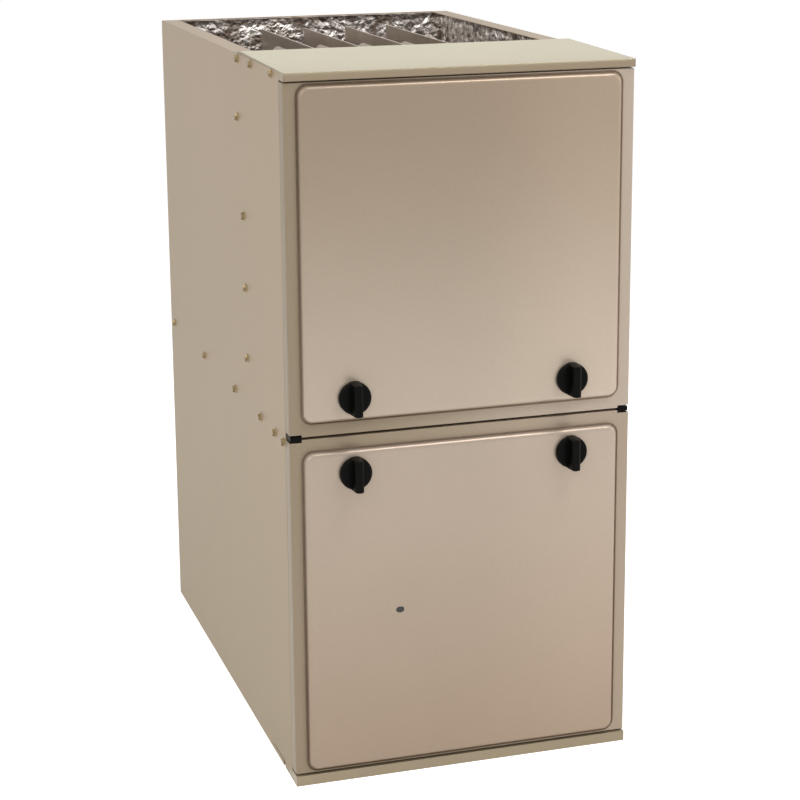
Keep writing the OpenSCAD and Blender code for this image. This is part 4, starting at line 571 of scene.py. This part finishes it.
def door_pan(name, finish, node, panel_z0, panel_z1, stem_z, notch_z, slot_hole=None):
    """Pan, raised panel and hem as one closed sheet, then its holes are cut."""
    (x0, y_front, z0), (x1, y_back, z1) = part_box(node)
    y_rim = y_front + rise
    px0, px1 = x0 + side_margin, x1 - side_margin
    made = bmesh.new()
    rings = []

    def panel_ring(inset, y):
        rings.append(ring(made, px0 + inset, px1 - inset, panel_z0 + inset, panel_z1 - inset,
                          press_r - inset * 0.9, y))

    def pan_ring(inset, y, r):
        rings.append(ring(made, x0 + inset, x1 - inset, z0 + inset, z1 - inset, r, y))

    panel_ring(9 * MM, y_front)
    for inset, height in reversed(press_line):
        panel_ring(inset * MM, y_rim - height * MM)
    pan_ring(bend_r + 0.2 * MM, y_rim, 1.5 * MM)
    for k in range(5):
        angle = math.radians(22.5 * k)
        pan_ring(bend_r * (1 - math.sin(angle)), y_rim + bend_r * (1 - math.cos(angle)), 1.8 * MM)
    pan_ring(0, y_back - 0.6 * MM, 1.8 * MM)
    pan_ring(0.6 * MM, y_back, 1.5 * MM)
    pan_ring(hem, y_back, 1.5 * MM)
    pan_ring(hem, y_back - door_t, 1.5 * MM)
    pan_ring(door_t, y_back - door_t, 1.5 * MM)
    pan_ring(door_t, y_rim + bend_r, 1.5 * MM)
    pan_ring(bend_r + 0.2 * MM, y_rim + skin_t, 1.2 * MM)
    for k, (inset, height) in enumerate(press_line):
        before, after = press_line[max(k - 1, 0)], press_line[min(k + 1, len(press_line) - 1)]
        run, climb = after[0] - before[0], (after[1] - before[1] if k else 0)
        share = skin_t / math.hypot(run, climb)
        panel_ring(inset * MM + climb * share, y_rim - height * MM + run * share)
    for a, b in zip(rings, rings[1:]):
        for i in range(len(a)):
            j = (i + 1) % len(a)
            made.faces.new((a[i], a[j], b[j], b[i]))
    made.faces.new(rings[0])
    made.faces.new(rings[-1])
    door = piece(name, made, finish, None, ride=False, sharp=50)
    cutters = [rod_mesh((sx * stem_x, y_front - 5 * MM, stem_z), (sx * stem_x, y_rim + 4 * MM, stem_z), stem_hole_r)
               for sx in (-1, 1)]
    cutters += [box_mesh(*sorted((sx * notch_x1, sx * notch_x0)), y_rim - 1 * MM, y_back + 1 * MM,
                         notch_z - notch_h, notch_z + notch_h) for sx in (-1, 1)]
    if slot_hole:
        cutters.append(slot_hole(y_front))
    for cutter in cutters:
        tool = piece("cutter", cutter, finish, None, ride=False)
        cut = door.modifiers.new("cut", "BOOLEAN")
        cut.operation, cut.solver, cut.object = "DIFFERENCE", "EXACT", tool
        settle(door)
        bpy.data.objects.remove(tool)
    door.data.set_sharp_from_angle(angle=math.radians(50))
    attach(door, node + "_body")
    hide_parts(node)
    return door


sight_x, sight_z, sight_w, sight_h = -84 * MM, 218 * MM, 10.5 * MM, 7.6 * MM


def sight_hole(y_front):
    """Slot with round ends that goes through the door's skin."""
    made = bmesh.new()
    outline = []
    for side, start in ((1, -90), (-1, 90)):
        for k in range(9):
            angle = math.radians(start + 22.5 * k)
            outline.append((sight_x + side * (sight_w - sight_h) / 2 + sight_h / 2 * math.cos(angle),
                            sight_z + sight_h / 2 * math.sin(angle)))
    front = [made.verts.new((x, y_front - 5 * MM, z)) for x, z in outline]
    back = [made.verts.new((x, y_front + 3 * MM, z)) for x, z in outline]
    for i in range(len(front)):
        j = (i + 1) % len(front)
        made.faces.new((front[i], front[j], back[j], back[i]))
    made.faces.new(front)
    made.faces.new(back)
    return made


(_, _, upper_z0), (_, _, upper_z1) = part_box("upper_door")
(_, _, lower_z0), (_, _, lower_z1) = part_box("lower_door")
upper_panel = (split_z + split_margin, upper_z1 - end_margin)
lower_panel = (lower_z0 + end_margin, split_z - split_margin)


def panel_rim(z0, z1, shaded_left_colour, lit_right_colour, right_painted_light):
    """Where a door's raised panel ends, and the painted shade and light colours beyond, for its paint; depth plays no
    part.
    """
    half_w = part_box("upper_door")[1][0] - side_margin
    endless = 10
    return ((0, 0, (z0 + z1) / 2), (half_w - press_r, endless, (z1 - z0) / 2 - press_r), press_r + 0.4 * MM,
            shaded_left_colour, lit_right_colour, right_painted_light)


# Painted light and shade: the upper door darkens towards its top, the lower door towards its foot
upper_paint = coil_paint("painted_steel_upper_door", "#BDAE9D", "#A59380", 0.45, 0.87,
                         rim=panel_rim(*upper_panel, "#9A8B76", "#C0B1A1", 1.2))
lower_paint = coil_paint("painted_steel_lower_door", "#A99683", "#B7A797", 0.02, 0.44,
                         rim=panel_rim(*lower_panel, "#9A8B76", "#B0A08D", 1.12))
door_pan("upper_door_pan", upper_paint, "upper_door", *upper_panel, split_z + stem_from_split, upper_z0)
door_pan("lower_door_pan", lower_paint, "lower_door", *lower_panel, split_z - stem_from_split, lower_z1, sight_hole)

# ---- pads behind the doors ----
# A foil faced board throws the burners' heat back from the upper door. Needled grey felt, glued
# inside the lower door, quietens the blower.

# Hardly creased or stained, so it stays bright all over, with fine dents
door_foil = crinkled_foil("clean_aluminium_foil", -0.1, 0.8)
crinkled_board("foil_door_pad", "upper_door_pad", 1, 1, door_foil, "upper_door_body", depth=1.2 * MM)
# Fibres that stand up from an uneven face give it a dull, dusty look
felt = fitting("needled_felt_board", "#5F5C56", "#45423D", 0.0, 0.92, 1.0 * MM, 0.8 * MM)
crinkled_board("felt_door_pad", "lower_door_pad", 1, 1, felt, "lower_door_body", depth=0.8 * MM,
               pitch=6 * MM, size=30 * MM)

# ---- door knobs, cams, sight glass and end blocks ----
# Quarter turn knobs with a grip bar, moulded in black nylon, each with a plated steel cam behind the
# door. The blocks are pressed on the ends of the divider rail, and the glass is let into its slot.

dress(moulded_black, "knob_upper_left", "knob_upper_right", "knob_lower_left", "knob_lower_right", "divider_blocks")
# Chromate over the zinc, a brownish gold that is never quite even
yellow_zinc = fitting("yellow_zinc_plate", "#A3906C", "#6E5F45", 0.9, 0.35, 1.2 * MM, 0.05 * MM)
dress(yellow_zinc, "cam_upper_left", "cam_upper_right", "cam_lower_left", "cam_lower_right")
# Smooth and nearly black, with one small sharp highlight
dress(fitting("dark_sight_glass", "#17181A", "#101112", 0.0, 0.12, 5 * MM, 0.02 * MM, 0.05), "sight_glass")

# ---- side screws ----
# Hexagon washer head sheet screws in yellow zinc plate, driven through the sides into the deck, the
# vestibule panel, the cap's ribs and a liner. One small head is made and set at each hole.
cabinet_low, cabinet_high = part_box("wrapper")
head_r, head_h, washer_r = 4.8 * MM, cabinet_low[0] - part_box("side_screws")[0][0] + 2 * MM, 6.2 * MM
rim_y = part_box("upper_door")[0][1] + rise
deck_z, cap_screw_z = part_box("blower_deck")[1][2], 879 * MM
vest_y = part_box("vestibule_panel")[1][1] - 1 * MM
screw_places = [(rim_y + a * MM, deck_z - 9 * MM) for a in (28, 71, 145, 288, 478, 688)]
screw_places += [(vest_y - 8 * MM, deck_z + a * MM) for a in (51, 143, 236)]
screw_places += [(rim_y + a * MM, cap_screw_z) for a in (52, 157, 226)]
screw_places += [(rim_y + 234 * MM, deck_z + 359 * MM)]


def screw_head_tree(name, finish):
    """Geometry Nodes that set one screw head, turned at random, on each point along its normal."""
    tree = bpy.data.node_groups.new(name, "GeometryNodeTree")
    ports = tree.interface
    ports.new_socket("Geometry", in_out="INPUT", socket_type="NodeSocketGeometry")
    sizes = [ports.new_socket(label, in_out="INPUT", socket_type="NodeSocketFloat")
             for label in ("Head Radius", "Head Height", "Washer Radius")]
    ports.new_socket("Geometry", in_out="OUTPUT", socket_type="NodeSocketGeometry")
    given = add(tree, "NodeGroupInput").outputs
    hexagon = add(tree, "GeometryNodeMeshCone", {"Vertices": 6, "Radius Bottom": given["Head Radius"],
                                                 "Depth": given["Head Height"]}, fill_type="NGON")
    shrunk = add(tree, "ShaderNodeMath", {0: given["Head Radius"], 1: 0.88}, operation="MULTIPLY").outputs[0]
    tree.links.new(shrunk, hexagon.inputs["Radius Top"])
    washer = add(tree, "GeometryNodeMeshCone", {"Vertices": 28, "Radius Bottom": given["Washer Radius"],
                                                "Depth": 0.9 * MM}, fill_type="NGON")
    slim = add(tree, "ShaderNodeMath", {0: given["Washer Radius"], 1: 0.9}, operation="MULTIPLY").outputs[0]
    tree.links.new(slim, washer.inputs["Radius Top"])
    head = add(tree, "GeometryNodeJoinGeometry")
    tree.links.new(hexagon.outputs["Mesh"], head.inputs[0])
    tree.links.new(washer.outputs["Mesh"], head.inputs[0])
    normal = add(tree, "GeometryNodeInputNamedAttribute", {"Name": "outward"}, data_type="FLOAT_VECTOR").outputs[0]
    face = add(tree, "FunctionNodeAlignRotationToVector", {"Vector": normal}, axis="Z").outputs[0]
    spin = add(tree, "FunctionNodeRandomValue", {"Min": (0, 0, 0), "Max": (0, 0, 1.05), "Seed": 4},
               data_type="FLOAT_VECTOR").outputs[0]
    spin = add(tree, "FunctionNodeEulerToRotation", {0: spin}).outputs[0]
    turned = add(tree, "FunctionNodeRotateRotation", {"Rotation": face, "Rotate By": spin}, rotation_space="LOCAL")
    placed = add(tree, "GeometryNodeInstanceOnPoints", {"Points": given["Geometry"], "Instance": head.outputs[0],
                                                        "Rotation": turned.outputs[0]})
    real = add(tree, "GeometryNodeRealizeInstances", {0: placed.outputs[0]})
    coated = add(tree, "GeometryNodeSetMaterial", {"Geometry": real.outputs[0], "Material": finish})
    add(tree, "NodeGroupOutput", {0: coated.outputs[0]})
    return tree, [size.identifier for size in sizes]


points = bpy.data.meshes.new("side_screw_heads")
sites = [(side, y, z) for side in (-1, 1) for y, z in screw_places]
points.from_pydata([((cabinet_low[0] if side < 0 else cabinet_high[0]), y, z) for side, y, z in sites], [], [])
outward = points.attributes.new("outward", "FLOAT_VECTOR", "POINT")
for i, (side, _, _) in enumerate(sites):
    outward.data[i].vector = (side, 0, 0)
screws = bpy.data.objects.new("side_screw_heads", points)
scene.collection.objects.link(screws)
screw_tree, screw_inputs = screw_head_tree("screw_heads", yellow_zinc)
maker = screws.modifiers.new("heads", "NODES")
maker.node_group = screw_tree
for key, value in zip(screw_inputs, (head_r, head_h, washer_r)):
    maker[key] = value
settle(screws)
screws.data.shade_smooth()
screws.data.set_sharp_from_angle(angle=math.radians(30))
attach(screws, "cabinet")
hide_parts("side_screws")

# ---- studio ----
# A pale floor without a horizon, soft lamps over the front left, the right, the left side and the
# top, and a low overall light. Floor and world look white to the camera and in reflections.


def seen_directly(tree):
    """1 for the camera, for reflections and through clear materials, and 0 for all other light."""
    path = add(tree, "ShaderNodeLightPath")
    seen = add(tree, "ShaderNodeMath", {0: path.outputs["Is Camera Ray"], 1: path.outputs["Is Glossy Ray"]},
               operation="MAXIMUM").outputs[0]
    seen = add(tree, "ShaderNodeMath", {0: seen, 1: path.outputs["Is Transmission Ray"]}, operation="MAXIMUM")
    return seen.outputs[0]


world = bpy.data.worlds.new("studio")
scene.world = world
world.use_nodes = True
tree = world.node_tree
tree.nodes.clear()
seen = seen_directly(tree)
strength = add(tree, "ShaderNodeMapRange", {"Value": seen, "To Min": 0.28, "To Max": 1.0}).outputs[0]
sky = add(tree, "ShaderNodeBackground", {"Color": (1, 1, 1, 1), "Strength": strength})
add(tree, "ShaderNodeOutputWorld", {"Surface": sky.outputs[0]})

floor_paint = bpy.data.materials.new("pale_floor")
floor_paint.use_nodes = True
tree = floor_paint.node_tree
tree.nodes.clear()
seen = seen_directly(tree)
matt = add(tree, "ShaderNodeBsdfDiffuse", {"Color": (0.86, 0.86, 0.86, 1)})
glow = add(tree, "ShaderNodeMath", {0: seen, 1: 0.76}, operation="MULTIPLY").outputs[0]
lift = add(tree, "ShaderNodeEmission", {"Color": (1, 1, 1, 1), "Strength": glow})
both = add(tree, "ShaderNodeAddShader", {0: matt.outputs[0], 1: lift.outputs[0]})
add(tree, "ShaderNodeOutputMaterial", {"Surface": both.outputs[0]})
floor_mesh = bpy.data.meshes.new("floor")
half = 20
floor_mesh.from_pydata([(-half, -half, 0), (half, -half, 0), (half, half, 0), (-half, half, 0)], [], [(0, 1, 2, 3)])
floor_mesh.materials.append(floor_paint)
floor = bpy.data.objects.new("floor", floor_mesh)
scene.collection.objects.link(floor)


def softbox(name, place, target, size, power):
    """Square area lamp aimed at a point."""
    lamp = bpy.data.lights.new(name, "AREA")
    lamp.size, lamp.energy = size, power
    holder = bpy.data.objects.new(name, lamp)
    scene.collection.objects.link(holder)
    aim = (Vector(target) - Vector(place)).to_track_quat("-Z", "Y").to_matrix().to_4x4()
    holder.matrix_world = Matrix.Translation(place) @ aim


softbox("key_lamp", (-1.6, -2.5, 2.0), (0, 0, 0.5), 2.2, 23)
softbox("fill_lamp", (2.8, -1.8, 1.5), (0, 0, 0.4), 1.8, 15)
softbox("left_lamp", (-2.8, 0.4, 1.3), (0, 0, 0.45), 1.6, 13)
softbox("top_lamp", (-0.2, 0.1, 3.0), (0, 0, 0.5), 0.9, 22)
softbox("front_top_lamp", (0.85, -1.2, 2.8), (0, -0.34, 0.6), 1.0, 26)

scene.view_settings.view_transform = "Standard"
bpy.context.view_layer.update()
